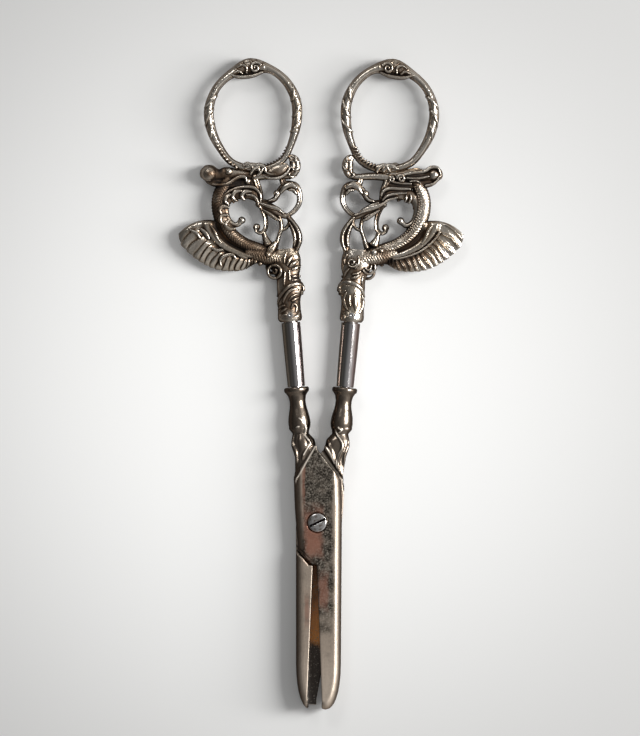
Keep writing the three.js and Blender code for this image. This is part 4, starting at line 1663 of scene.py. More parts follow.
@dataclass
class ScrollHandle:
    """The openwork casting of scrolls, leaves, wing and knuckle under a finger bow.

    Attributes:
        knuckle: The swelling that takes the shaft.
        wing: The ribbed wing.
        bore: Radius of the hole for the shaft's tenon.
        bore_depth: Depth of that hole.
        ear: Run of the curled ear beside the bow.
        beading: Places and rise of the fine beads along the back of the neck band.
        tone_spots: Place, radius, amount and face of spots that darken the casting, and lighten it where the
            amount is negative.
        bars: Bars of the openwork from the chest to the head, alike on both faces.
        petals: Runs of the long petals of the leaves, alike on both faces.
        front_ridges: Ridges of the front alone: lip, scroll curls and knot.
        back_ridges: Ridges of the back alone: snout, hood, long leaf and curl.
        bosses: Place, radius and lift of the balls at the ends of the scrolls.
        shell_panel: The smooth dome in a rim that fills the left handle's upper gap.
    """

    knuckle: Knuckle = field(default_factory=Knuckle)
    wing: Wing = field(default_factory=Wing)
    bore: float = 2.0
    bore_depth: float = 8.5
    ear: Run = ((2.3, 38.5, 0.8), (4.0, 39.4, 1.2), (4.7, 41.2, 1.45), (4.5, 42.8, 1.3), (3.8, 43.8, 0.8))
    beading: Run = (
        (-13.6, 37.4, 0.0), (-14.9, 34.6, 0.0), (-15.2, 31.2, 0.0), (-14.3, 27.9, 0.0), (-12.3, 24.9, 0.26),
        (-9.6, 22.6, 0.38), (-6.7, 21.0, 0.32),
    )
    tone_spots: Run = (
        (-17.4, 31.5, 2.2, 0.35, 1), (-13.6, 23.6, 2.6, 0.25, 1), (-15.6, 36.6, 2.4, 0.35, 1),
        (-19.5, 26.5, 3.0, 0.1, 1), (-18.3, 41.1, 1.2, 0.3, 1), (-9.5, 21.3, 3.4, 0.28, 1),
        (1.0, 7.0, 5.0, 0.14, 1), (1.0, 16.0, 3.0, 0.12, 1), (-21.5, 21.0, 6.0, -0.12, 1),
        (-21.0, 20.5, 6.0, -0.22, -1), (-15.3, 41.9, 1.2, 0.5, 1), (-0.5, 40.0, 1.4, 0.3, 1),
        (-11.0, 38.2, 1.2, 0.4, 1), (-17.6, 27.0, 2.0, 0.3, 1), (-6.0, 18.2, 3.0, 0.2, 1),
        (0.0, 3.0, 3.5, 0.12, 1), (-15.5, 40.2, 3.0, 0.15, 1), (-14.5, 22.3, 2.5, 0.25, -1),
        (-7.5, 18.2, 2.5, 0.2, -1), (-18.0, 24.6, 2.2, 0.15, -1), (0.0, 13.0, 2.5, 0.15, -1),
    )
    bars: tuple[Bar, ...] = (
        Bar(((-0.2, 16.5, 2.2), (-4.1, 17.7, 2.4), (-7.4, 18.4, 2.1), (-10.2, 19.3, 1.4)),
            1.15 * CAST_DEPTH, Relief.PEBBLED, sides=64, step=0.16),
        Bar(((-3.6, 18.2, 1.7), (-7.0, 19.9, 1.7), (-10.6, 21.6, 1.75), (-13.6, 24.1, 1.85),
            (-15.6, 27.6, 1.9), (-16.4, 31.2, 1.95), (-16.1, 34.5, 1.9), (-14.8, 37.3, 1.75),
            (-13.2, 39.2, 1.2)), 0.9 * CAST_DEPTH, Relief.PEBBLED, sides=64, step=0.16),
        Bar(((-5.0, 39.6, 1.1), (-9.5, 39.9, 1.4), (-12.6, 40.5, 1.75), (-14.2, 40.8, 1.7),
            (-15.8, 40.6, 1.35), (-17.3, 40.9, 1.95), (-18.4, 41.1, 2.3), (-19.9, 41.4, 1.5)),
            0.7 * CAST_DEPTH, sides=40),
        Bar(((-6.7, 37.8, 1.25), (-11.6, 37.8, 1.25), (-15.1, 38.2, 1.15), (-17.9, 39.0, 1.0),
            (-19.4, 40.3, 0.5)), 0.5 * CAST_DEPTH, Relief.VEINED),
        Bar(((-10.7, 28.0, 0.8), (-12.2, 26.9, 0.7), (-14.0, 27.7, 0.95), (-15.0, 29.9, 1.15),
            (-15.0, 32.3, 1.35), (-13.9, 34.2, 1.55), (-12.0, 35.1, 1.65), (-9.4, 35.3, 1.7),
            (-7.0, 34.7, 1.5), (-5.4, 33.2, 1.0)), 0.7 * CAST_DEPTH, sides=40),
        Bar(((-6.5, 33.9, 0.8), (-5.5, 31.9, 0.8), (-4.6, 29.5, 0.7), (-4.3, 27.1, 0.62), (-4.7, 25.1, 0.6),
            (-5.9, 24.2, 0.55), (-7.0, 24.8, 0.55), (-6.9, 25.8, 0.8)), 0.75 * CAST_DEPTH, Relief.VEINED),
        Bar(((-5.2, 24.6, 0.6), (-4.9, 22.8, 0.8), (-4.3, 21.0, 1.4)), 0.75 * CAST_DEPTH),
        Bar(((-6.0, 32.2, 1.0), (-3.8, 30.9, 1.3), (-1.7, 29.6, 1.25), (0.2, 28.5, 0.9), (1.9, 27.7, 0.6)),
            0.7 * CAST_DEPTH, sides=32),
        Bar(((-5.8, 32.9, 0.7), (-3.4, 32.3, 0.6), (-1.5, 32.9, 0.7), (-0.3, 34.5, 0.8), (1.0, 35.8, 0.9),
            (2.6, 36.5, 0.8)), 0.65 * CAST_DEPTH, Relief.VEINED),
        Bar(((0.9, 38.8, 0.7), (1.2, 37.1, 0.9), (2.6, 36.2, 1.3), (4.2, 35.6, 1.2), (5.2, 33.6, 0.8),
            (4.9, 31.2, 0.7), (3.3, 29.2, 0.65), (1.2, 28.0, 0.55)), 0.7 * CAST_DEPTH, Relief.VEINED),
        Bar(((1.6, 28.2, 0.6), (2.6, 26.0, 1.0), (3.5, 23.7, 1.3), (3.7, 21.4, 1.25), (3.0, 19.3, 1.0),
            (2.3, 17.0, 1.0)), 0.7 * CAST_DEPTH, sides=32),
        Bar(((-1.1, 29.3, 0.55), (-0.4, 26.9, 0.55), (-0.4, 24.9, 0.55), (-1.2, 23.0, 0.55),
            (-2.4, 20.0, 0.75)), 0.6 * CAST_DEPTH),
        Bar(((1.8, 27.8, 0.5), (1.8, 26.1, 0.5), (1.0, 25.0, 0.5), (-0.4, 24.4, 0.45)), 0.5 * CAST_DEPTH),
        Bar(((-6.5, 39.2, 1.1), (-4.0, 39.3, 1.1), (-1.5, 39.1, 1.0), (1.0, 38.7, 0.9), (3.1, 38.5, 0.8)),
            0.8 * CAST_DEPTH),
        Bar(ear, 0.75 * CAST_DEPTH, Relief.VEINED, sides=32),
        Bar(((-6.4, 39.2, 1.0), (-5.9, 37.4, 0.9), (-5.3, 35.4, 0.8), (-5.2, 33.1, 0.7)), 0.75 * CAST_DEPTH,
            Relief.VEINED),
    )
    petals: tuple[Run, ...] = (
        ((-5.6, 32.2, 0.35), (-3.3, 31.1, 0.65), (-1.0, 30.2, 0.6), (0.6, 28.8, 0.3)),
        ((-4.7, 30.2, 0.3), (-3.0, 28.9, 0.55), (-1.6, 27.7, 0.45), (-0.6, 27.1, 0.25)),
        ((1.7, 27.8, 0.3), (3.2, 25.7, 0.45), (4.2, 23.4, 0.5), (4.2, 21.0, 0.45), (3.2, 18.8, 0.3)),
        ((1.9, 26.3, 0.25), (2.7, 24.2, 0.45), (3.0, 22.0, 0.5), (2.6, 19.9, 0.3)),
        ((0.2, 34.4, 0.4), (1.5, 35.8, 0.8), (3.1, 36.3, 0.85), (4.6, 35.3, 0.5)),
        ((2.5, 35.0, 0.3), (3.5, 34.9, 0.5), (4.4, 33.8, 0.4)),
        ((-3.2, 32.5, 0.3), (-1.7, 32.8, 0.5), (-0.6, 33.8, 0.45)),
    )
    front_ridges: tuple[Bar, ...] = (
        Bar(((-17.6, 38.2, 0.3), (-15.6, 37.9, 0.4), (-13.5, 38.1, 0.45), (-11.7, 39.0, 0.5),
            (-10.2, 39.6, 0.5), (-8.8, 39.3, 0.45), (-8.6, 38.2, 0.35)), 0.6, lift=1.5),
        Bar(((-16.0, 32.6, 0.3), (-14.8, 35.0, 0.4), (-12.2, 36.4, 0.45), (-9.2, 36.8, 0.5),
            (-6.7, 36.3, 0.5), (-5.2, 34.4, 0.45), (-5.3, 32.4, 0.3)), 0.7, lift=1.15),
        Bar(((-8.9, 34.7, 0.35), (-7.0, 34.1, 0.5), (-6.1, 32.8, 0.5), (-6.0, 31.6, 0.3)), 0.8, lift=1.2),
        *(Bar(tuple((*point, w) for point, w in zip(lobe, (0.35, 0.65, 0.7, 0.35))), 0.85, lift=1.25)
          for lobe in (
            ((-11.7, 33.2), (-12.6, 34.3), (-11.8, 35.7), (-10.0, 35.8)),
            ((-9.5, 33.3), (-10.2, 34.3), (-9.3, 35.5), (-7.6, 35.4)),
            ((-13.8, 32.4), (-14.7, 33.5), (-14.1, 34.7), (-12.8, 35.1)),
            ((-13.8, 31.7), (-15.5, 32.1), (-16.4, 31.1), (-15.7, 29.8)),
            ((-14.2, 29.7), (-16.0, 29.6), (-16.4, 28.2), (-15.2, 27.3)),
            ((-14.1, 28.2), (-15.2, 27.1), (-14.3, 26.0), (-12.6, 25.9)),
        )),
        Bar(spiral((-18.3, 41.1), 1.8, 1.8, 0.5, 95, (0.4, 0.4)), 0.7, lift=0.9),
        Bar(((-5.0, 17.6, 0.4), (-4.1, 18.9, 1.0), (-3.1, 20.1, 0.95), (-2.1, 21.3, 0.4)), 0.9, lift=1.5),
        Bar(spiral((3.0, 36.0), 1.1, 0.35, -1.3, 200, (0.4, 0.3)), 0.65, lift=0.95),
        Bar(((-9.3, 42.4, 0.35), (-7.9, 42.9, 0.55), (-6.9, 42.1, 0.5), (-6.4, 41.2, 0.45)), 0.8, lift=1.0),
        Bar(((-7.4, 40.0, 0.4), (-6.3, 41.3, 0.55), (-4.9, 41.7, 0.4)), 1.0, lift=1.0),
        Bar(((-5.6, 39.4, 0.35), (-4.6, 40.3, 0.5), (-3.8, 41.3, 0.35)), 0.7, lift=1.2),
    )
    back_ridges: tuple[Bar, ...] = (
        Bar(((-20.2, 41.4, 0.3), (-19.2, 43.0, 0.4), (-17.4, 42.9, 0.45), (-16.0, 41.8, 0.45),
            (-12.2, 40.9, 0.5), (-8.4, 39.7, 0.35)), 0.65, lift=-1.35),
        Bar(((-20.1, 40.9, 0.3), (-18.7, 38.8, 0.4), (-16.4, 37.9, 0.35)), 0.6, lift=-1.1),
        Bar(((-17.1, 40.5, 0.3), (-14.2, 39.7, 0.4), (-11.3, 39.5, 0.3)), 0.6, lift=-1.5),
        Bar(((-15.1, 38.5, 0.25), (-13.8, 39.0, 0.35), (-12.2, 38.7, 0.25)), 0.6, lift=-1.45),
        Bar(((-12.5, 36.7, 0.35), (-9.6, 36.5, 0.5), (-6.8, 36.3, 0.5), (-5.3, 35.4, 0.45),
            (-4.9, 34.1, 0.35)), 0.65, lift=-1.35),
        Bar(((-11.6, 35.5, 0.3), (-8.7, 35.1, 0.4), (-6.4, 34.2, 0.4), (-5.4, 33.0, 0.3)), 0.65, lift=-1.3),
        Bar(((-9.2, 34.1, 0.3), (-6.9, 33.2, 0.4), (-5.3, 31.8, 0.45), (-3.1, 30.5, 0.5), (-0.4, 29.4, 0.4),
            (1.6, 28.4, 0.3)), 0.65, lift=-1.15),
        Bar(((-4.4, 32.3, 0.3), (-2.5, 31.4, 0.45), (-0.9, 30.4, 0.3)), 0.6, lift=-1.15),
        Bar(((-4.6, 30.2, 0.3), (-2.8, 29.1, 0.45), (-1.0, 28.0, 0.3)), 0.6, lift=-1.0),
        Bar(((-12.7, 35.3, 0.3), (-12.9, 34.0, 0.4), (-12.4, 32.9, 0.3)), 0.6, lift=-1.2),
        Bar(((-11.6, 34.9, 0.3), (-11.7, 34.0, 0.4), (-11.4, 33.2, 0.3)), 0.6, lift=-1.2),
        Bar(((-12.6, 38.1, 0.3), (-9.6, 38.0, 0.45), (-6.7, 38.2, 0.3)), 0.65, lift=-1.1),
        Bar(spiral((-9.8, 39.2), 1.15, 0.35, 1.3, 0, (0.45, 0.35)), 0.7, lift=-1.5),
        Bar(spiral((-7.3, 38.8), 0.8, 0.3, 1.2, 40, (0.4, 0.3)), 0.7, lift=-1.3),
        Bar(spiral((2.6, 36.2), 1.1, 0.35, 1.3, 0, (0.4, 0.3)), 0.65, lift=-0.95),
    )
    bosses: Run = (
        (-18.4, 41.1, 2.15, 0.5), (-13.1, 41.2, 1.2, 0.5), (-10.7, 28.0, 1.0, 0.0), (-6.9, 25.8, 1.0, 0.0),
        (-0.7, 34.3, 1.0, 0.7), (-0.7, 34.3, 1.0, -0.7), (-8.2, 38.2, 0.85, 1.1), (-4.5, 18.3, 0.85, 1.9),
        (-8.0, 16.7, 0.6, 1.0), (-6.8, 16.0, 0.6, 1.2), (-4.4, 19.0, 1.0, -1.6), (-6.3, 19.6, 0.7, -1.6),
        (-2.5, 20.8, 0.9, 0.7),
    )
    shell_panel: tuple[Bar, ...] = (
        Bar(((-2.9, 39.6, 0.9), (-0.9, 40.1, 1.7), (1.1, 40.7, 1.6), (2.5, 41.3, 0.9)), 0.95, lift=0.8),
        Bar(((-4.0, 39.4, 0.3), (-2.3, 38.5, 0.42), (0.5, 38.5, 0.45), (2.4, 39.6, 0.4), (3.2, 40.8, 0.3)),
            0.6, lift=1.3),
        Bar(((-3.5, 40.4, 0.25), (-2.2, 39.6, 0.35), (-0.6, 39.5, 0.25)), 0.5, lift=1.45),
    )

    def folded(self) -> list[Bar]:
        """Gives the petals of the leaves and the folds of the ear, on both faces.

        Returns:
            The bars.
        """
        bars = [Bar(run, 0.8, lift=1.15 * face.value) for run in self.petals for face in Face]
        for side, face in itertools.product((1, -1), Face):
            across = (0.08 * side, 0.96 * side)
            bars += crescents(self.ear, 3, 0.7 * CAST_DEPTH * face.value, across, 1.1, (0.34, 0.3))
        return bars

    def build(self, lobes: Lobes) -> Thing:
        """Makes the casting that both handles share.

        Args:
            lobes: Layer of the rows.

        Returns:
            The casting, in millimetres.
        """
        bars = [*self.bars, *self.folded(), *self.front_ridges, *self.back_ridges, *self.wing.plumes()]
        parts = shapes_of(bars, "bar")
        parts += [ball((x, y), radius, lift) for x, y, radius, lift in self.bosses]
        parts += [self.wing.body(), *self.knuckle.leaves()]
        parts.append(lobes.lay(self.beading, -1.32, (0.66, 0.31, 0.31, 0.31, 0.0)))
        body = merged(self.knuckle.build(), parts, Merge.JOIN)
        socket = turned(((self.bore, -1.0), (self.bore, self.bore_depth)), 48).thing("socket")
        return merged(body, [socket, pin_hole(PIN_HEIGHT)], Merge.CUT)


# Shafts, blades and screw


@dataclass
class Shaft:
    """A polished round rod with a tenon at each end.

    Attributes:
        foot: Radius at the collar.
        head: Radius at the knuckle.
        tenons: Radius and length of the tenon in the collar and of the one in the knuckle.
    """

    foot: float = 2.3
    head: float = 2.5
    tenons: Run = ((1.3, 5.7), (1.9, 8.2))

    def build(self) -> Thing:
        """Turns the rod and bores it for its pin.

        Returns:
            The rod, from the mouth of the collar.
        """
        shoulder = SHAFT_LENGTH - 0.3
        (low, low_end), (high, high_end) = self.tenons
        profile = [(0.05, -low_end), (low, -low_end), (low, 0.12)]
        profile += [(self.foot - 0.12, 0.12), (self.foot, 0.24)]
        for share in (0.15, 0.4, 0.65, 0.9):
            swell = self.foot + (self.head - self.foot) * share + 0.05 * math.sin(math.pi * share)
            profile.append((swell, 0.24 + share * (shoulder - 0.5)))
        profile += [(self.head, shoulder - 0.12), (self.head - 0.12, shoulder), (high, shoulder)]
        profile += [(high, SHAFT_LENGTH + high_end), (0.05, SHAFT_LENGTH + high_end)]
        return merged(turned(profile).thing("rod"), [pin_hole(SHAFT_LENGTH + PIN_HEIGHT)], Merge.CUT)


@dataclass
class ShaftPin:
    """A cross-pin whose dished heads show in the knuckle.

    Attributes:
        radius: Radius of the pin.
        reach: Half of its length.
    """

    radius: float = 0.6
    reach: float = 3.2

    def build(self) -> Thing:
        """Turns the pin with a dish in each end.

        Returns:
            The pin, from the mouth of the knuckle.
        """
        r, top = self.radius, self.reach
        dish = [(0.05, top - 0.3), (0.25 * r, top - 0.28), (0.5 * r, top - 0.1), (0.75 * r, top)]
        dish.append((r, top - 0.12))
        low = [(radius, -height) for radius, height in dish]
        return upright(low + dish[::-1], (0.0, PIN_HEIGHT), 40).thing("pin")


@dataclass
class Blade:
    """One arm's forging: a lapped plate, its blade, a shank with leaf folds and a turned collar.

    Attributes:
        side: Arm that it belongs to; the left arm's plate lies on top.
        shank: Height, outer edge, inner edge, half-depth and squareness up the shank.
        foot: The same where its folds run out on the plate.
        collar: Radius and height of the collar's profile, down from its mouth.
        socket: Radius and height of the shaft's hole in it.
        heel: Height of the heel, where the ledge begins.
        ledge: Heights between which the ledge's bare faces lie.
        flank: Depth of the sloping flanks.
        swell: How far they are rounded out on the upper and the lower blade.
        front_folds: The S-shaped leaf folds on the front of the shank.
        back_folds: Those on its back.
        fold_highlights: Runs of the painted highlights along the folds of the front.
        back_fold_highlights: Runs of the painted highlights along the folds of the back.
        gable: Fine line where the upper plate meets its own shank.
        shoulder: Plan of what the lower blade's outer shoulder has lost to grinding.
        seam: Place, radius, amount and face of the spots of the painted shadow line along the heel of the
            upper plate.
        grid: Spacing of the softened skin's corners.
    """

    side: Side
    shank: Run = (
        (20.7, -7.0, -0.5, 3.0, 3.0), (22.2, -6.9, -0.8, 2.8, 2.6), (23.8, -6.5, -2.2, 2.4, 2.3),
        (25.2, -7.5, -2.0, 2.75, 2.2), (26.4, -6.9, -2.4, 2.2, 2.0),
    )
    collar: Run = (
        (0.05, -11.8), (2.2, -11.8), (2.6, -11.3), (2.85, -10.6), (2.97, -9.8), (2.95, -9.0), (2.8, -7.9),
        (2.55, -6.7), (2.3, -5.6), (2.16, -4.6), (2.15, -3.6), (2.28, -2.8), (2.5, -2.1), (2.78, -1.75),
        (2.72, -1.55), (3.1, -1.35), (3.3, -1.1), (3.35, -0.8), (3.33, -0.45), (3.2, -0.15), (3.0, -0.02),
        (2.6, 0.0), (0.05, 0.0),
    )
    foot: Point = (14.0, -6.2, 1.2, 3.05, 4.0)
    socket: Run = ((1.45, -6.0), (1.45, 1.0))
    heel: float = -11.2
    ledge: Point = (-0.45, 0.1)
    flank: float = 2.0
    swell: Point = (0.32, 0.55)
    front_folds: tuple[Bar, ...] = (
        Bar(((-4.7, 28.0, 0.3), (-3.7, 26.6, 0.5), (-3.0, 25.2, 0.55), (-3.2, 23.4, 0.5),
            (-2.2, 21.6, 0.45), (-1.6, 20.6, 0.3)), 0.42),
        Bar(((-6.3, 25.9, 0.3), (-5.2, 25.6, 0.75), (-4.2, 25.9, 0.3)), 0.5),
        Bar(((-4.4, 23.8, 0.4), (-4.1, 21.6, 1.1), (-4.0, 19.6, 0.9), (-4.6, 18.6, 0.3)), 0.36),
        Bar(((-6.0, 24.0, 0.3), (-6.5, 21.4, 0.5), (-5.8, 18.8, 0.5), (-5.7, 16.2, 0.3)), 0.45),
        Bar(((-1.9, 20.9, 0.25), (-2.9, 19.8, 0.4), (-3.7, 18.6, 0.4), (-4.2, 17.0, 0.25)), 0.45),
    )
    back_folds: tuple[Bar, ...] = (
        Bar(((-3.0, 24.2, 0.3), (-4.2, 22.6, 0.45), (-5.0, 21.2, 0.5), (-5.0, 19.6, 0.5), (-4.2, 17.4, 0.5),
            (-4.1, 15.2, 0.35)), 0.42),
        Bar(((-2.9, 25.4, 0.25), (-3.8, 25.2, 0.45), (-4.6, 24.7, 0.45), (-3.9, 24.2, 0.3)), 0.5),
        Bar(((-1.3, 21.5, 0.3), (-2.0, 19.6, 0.5), (-2.8, 17.6, 0.4), (-3.0, 16.6, 0.25)), 0.36),
        Bar(((-6.2, 22.8, 0.3), (-6.5, 21.1, 0.5), (-5.8, 18.6, 0.5), (-5.6, 15.6, 0.3)), 0.45),
    )
    fold_highlights: tuple[Run, ...] = (
        ((-4.7, 28.0), (-3.8, 27.3), (-3.0, 26.1), (-3.0, 24.7), (-3.3, 23.5), (-2.7, 22.5), (-2.2, 21.8)),
        ((-5.6, 25.4), (-5.1, 25.7), (-4.6, 25.7)),
        ((-1.7, 21.4), (-2.7, 19.8), (-3.8, 18.1)),
    )
    back_fold_highlights: tuple[Run, ...] = (
        ((-2.9, 25.1), (-3.6, 23.6), (-4.9, 21.6), (-5.1, 20.3), (-4.0, 18.0), (-3.7, 15.8), (-4.0, 13.9),
         (-4.6, 12.6)),
        ((-3.7, 25.5), (-4.7, 24.7), (-4.0, 24.1)),
        ((-0.9, 20.1), (-2.1, 18.1), (-3.2, 15.8)),
    )
    gable: Bar = Bar(((-6.1, 11.6, 0.2), (-1.0, 20.0, 0.2)), 0.3, lift=3.02)
    shoulder: Run = ((6.3, 6.0), (5.5, 10.5), (5.5, 13.0), (6.1, 17.0), (9.0, 17.0), (9.0, 6.0))
    # Painted shadow line along the heel of the upper plate
    seam: Run = tuple((-6.2 + 0.235 * i, -6.3 - 0.235 * i, 0.2, 0.6, 1) for i in range(21))
    grid: float = 0.17

    def height(self, face: Face, x: Array, y: Array) -> Array:
        """Gives the height of one face of the shank at some places.

        Args:
            face: Front or back.
            x: Places across the pair's middle line.
            y: Places along it.

        Returns:
            The heights.
        """
        rows = np.asarray((self.foot, *self.shank))
        out, inn, deep, power = (np.interp(y, rows[:, 0], rows[:, i]) for i in (1, 2, 3, 4))
        off = np.clip(np.abs((x - (out + inn) / 2) / ((inn - out) / 2)), 0, 0.98)
        return face.value * (deep * (1 - off**power) ** (1 / power) - 0.1)

    def round_shank(self) -> list[Thing]:
        """Makes the shank with the folds on both faces and, on the upper blade, the gable's line.

        Returns:
            Shapes to join to the solid, before they are turned for the right arm.
        """
        line = smooth_run(self.shank, 0.3)
        angle = around(56)
        power = 2 / line[:, 4:5]
        middle, wide = (line[:, 1:2] + line[:, 2:3]) / 2, (line[:, 2:3] - line[:, 1:2]) / 2
        x = middle - wide * np.sign(np.cos(angle)) * np.abs(np.cos(angle)) ** power
        z = line[:, 3:4] * np.sign(np.sin(angle)) * np.abs(np.sin(angle)) ** power
        parts = [skin_over(x, line[:, :1], z).thing("shank")]
        for face, folds in ((Face.FRONT, self.front_folds), (Face.BACK, self.back_folds)):
            parts += shapes_of(folds, "fold", partial(self.height, face))
        if self.side is Side.LEFT:
            parts += shapes_of([self.gable], "gable")
        return parts

    def build(self, node: Thing, place: Matrix) -> Thing:
        """Makes the forging from its solid, with a rounder shank and collar and softened edges.

        Args:
            node: Solid of the blade.
            place: Place of the closed pair's frame, in metres.

        Returns:
            The blade, in the closed pair's frame.
        """
        body = linked("blade", welded(node.data))
        body.data.transform(place.inverted())
        parts = self.round_shank()
        for part in parts:
            part.data.transform(self.side.turn())
        collar = turned(self.collar).thing("collar")
        cuts = [turned(self.socket, 48).thing("socket")]
        for part in (collar, *cuts):
            part.data.transform(self.side.stem(Matrix.Identity(4)))
        merged(body, [*parts, collar], Merge.JOIN)
        if self.side is Side.RIGHT:
            cuts.append(prism(self.shoulder, -5.0, 5.0).thing("shoulder"))
        fine_skin(merged(body, cuts, Merge.CUT), self.grid, 2)
        self.round_flanks(body.data)
        return body

    def round_flanks(self, mesh: Mesh) -> None:
        """Swells the blade's sloping flanks, which grinding has rounded, but not the walls that meet.

        Args:
            mesh: Mesh of the forging, in the closed pair's frame.
        """
        place, out = skin_arrays(mesh)
        down = np.clip((HALF_THICKNESS - np.abs(place[:, 2])) / self.flank, 0, 1)
        sloping = np.clip(1 - ((np.abs(out[:, 2]) - 0.65) / 0.3) ** 2, 0, 1)
        sloping *= np.clip((self.shank[0][0] - 7.0 - place[:, 1]) / 3, 0, 1)
        sideways = np.abs(out[:, 0]) / np.maximum(np.hypot(out[:, 0], out[:, 1]), 1e-6)
        sloping *= np.where(place[:, 1] > self.heel - 9.0, np.clip((sideways - 0.87) / 0.1, 0, 1), 1)
        swell = self.swell[self.side is Side.RIGHT]
        place += out * (swell * 4 * down * (1 - down) * sloping)[:, None]
        mesh.vertices.foreach_set("co", place.ravel())
        mesh.update()

    def mark_fold_highlights(self, mesh: Mesh) -> None:
        """Paints highlights along the folds of both faces.

        Args:
            mesh: Mesh of the forging, in the closed pair's frame.
        """
        turn = 1 if self.side is Side.LEFT else -1
        spots = []
        for face, runs in ((Face.FRONT, self.fold_highlights), (Face.BACK, self.back_fold_highlights)):
            places = np.vstack([smooth_run(run, 0.16) for run in runs])
            spots += [(turn * x, y, 0.19, 0.7, turn * face.value) for x, y in places]
        add_spots(mesh, spots, PAINTED_HIGHLIGHT)

    def ledge_faces(self, mesh: Mesh) -> list[int]:
        """Tells the bare faces of the lower blade's ledge from the plated ones.

        Args:
            mesh: Mesh of the forging, in the closed pair's frame.

        Returns:
            Number of each face's material: 1 where it is bare.
        """
        low, high = self.ledge
        near = self.heel + 1.5 if self.side is Side.RIGHT else -math.inf
        return [
            int(low < face.center.z < high and face.normal.z > 0.6 and face.center.y < near)
            for face in mesh.polygons
        ]


@dataclass
class PivotScrew:
    """A slotted cheese-head screw.

    Attributes:
        seat: Height under its head.
        head: Radius and height of the head.
        slot: Width and depth of the slot.
        slot_angle: Turn of the slot, in degrees.
        grid: Spacing of the softened skin's corners.
    """

    seat: float = 3.2
    head: Point = (2.5, 1.2)
    slot: Point = (0.6, 0.65)
    slot_angle: float = 28.0
    grid: float = 0.09

    def build(self) -> Thing:
        """Turns the screw, cuts its slot and rounds its edges.

        Returns:
            The screw, in the closed pair's frame.
        """
        r, top = self.head[0], self.seat + self.head[1]
        profile = [
            (0.05, -HALF_THICKNESS), (1.3, -HALF_THICKNESS), (1.3, 0.1), (1.6, 0.1), (1.6, self.seat),
            (r, self.seat), (r, top - 0.42), (r - 0.1, top - 0.25), (r - 0.35, top - 0.12),
            (r - 1.0, top - 0.03), (0.05, top),
        ]
        body = upright(profile, (-PIVOT_OFFSET, 0.0), 96).thing("screw")
        reach, half = 2 * r, self.slot[0] / 2
        cos, sin = math.cos(math.radians(self.slot_angle)), math.sin(math.radians(self.slot_angle))
        corners = ((-reach, -half), (reach, -half), (reach, half), (-reach, half))
        plan = [(-PIVOT_OFFSET + x * cos - y * sin, x * sin + y * cos) for x, y in corners]
        cut = prism(plan, top - self.slot[1], top + 1.0).thing("slot")
        return fine_skin(merged(body, [cut], Merge.CUT), self.grid, 2)


# Studio


@dataclass
class Studio:
    """A pale floor, soft light from the right and a camera straight above.

    Attributes:
        focus: Point under the camera.
        tall: Height of the picture on the scissors' middle plane.
        distance: Height of the camera over that plane.
        floor: Half-width of the floor, and how far it lies under the scissors.
        lamps: Name, place, size and power of each lamp.
        room: Colours of the room from the ground up.
    """

    focus: Point = (0.00069, 0.04114, 0.00335)
    tall: float = 0.1963
    distance: float = 2.0
    floor: Point = (4.0, 2e-5)
    lamps: tuple[tuple[str, Point, Point, float], ...] = (
        ("key", (0.66, 0.16, 0.56), (0.25, 0.46), 6.6),
        ("low", (0.85, 0.05, 0.27), (0.30, 0.20), 3.2),
        ("fill", (-0.30, 0.70, 0.75), (0.35, 0.25), 1.2),
    )
    room: Palette = (
        (0.0, (0.40, 0.39, 0.38)),
        (0.35, (0.28, 0.28, 0.28)),
        (0.62, (0.40, 0.40, 0.40)),
        (0.9, (0.19, 0.19, 0.195)),
        (0.98, (0.28, 0.28, 0.28)),
    )

    def build(self) -> None:
        """Sets up the floor, the lamps, the world and the camera."""
        self.lay_floor()
        self.hang_lamps()
        self.paint_world()
        self.place_camera()
        bpy.context.scene.view_settings.view_transform = "Standard"

    def lay_floor(self) -> None:
        """Lays the wide floor."""
        reach, drop = self.floor
        signs = ((-1, -1), (1, -1), (1, 1), (-1, 1))
        corners = np.array([(x * reach, y * reach, -drop) for x, y in signs])
        floor = Shell(corners, [(0, 1, 2, 3)]).thing("floor")
        floor.data.materials.append(PaleFloor().dress("pale_floor"))

    def hang_lamps(self) -> None:
        """Hangs a wide key light and a low one, which the metal doesn't mirror, and a weaker strip."""
        for name, place, size, power in self.lamps:
            lamp = bpy.data.lights.new(name, "AREA")
            lamp.shape = "RECTANGLE"
            lamp.size, lamp.size_y = size
            lamp.energy = power
            made = linked(name, lamp)
            made.location = place
            made.rotation_euler = (Vector(self.focus) - Vector(place)).to_track_quat("-Z", "Y").to_euler()
            made.visible_camera = False
            made.visible_glossy = name != "low"

    def paint_world(self) -> None:
        """Paints a room that is pale half-way up, darker above and to the left."""
        world = bpy.data.worlds.new("room")
        world.use_nodes = True
        world.node_tree.nodes.clear()
        tree = Tree(world.node_tree)
        x, _, z = tree.parts(tree.add("ShaderNodeTexCoord").outputs["Generated"])
        side = tree.span(x, -0.8, 0.8, 0.22, 1.4)
        tint = tree.add("ShaderNodeBackground", Color=tree.ramp(self.room, z), Strength=side)
        tree.add("ShaderNodeOutputWorld", Surface=tint.outputs[0])
        bpy.context.scene.world = world

    def place_camera(self) -> None:
        """Points a long lens straight down at the scissors."""
        lens = bpy.data.cameras.new("camera")
        lens.sensor_width = 36.0
        lens.lens = lens.sensor_width * self.distance / self.tall
        lens.clip_end = 20.0
        camera = linked("camera", lens)
        camera.location = Vector(self.focus) + Vector((0, 0, self.distance))
        bpy.context.scene.camera = camera


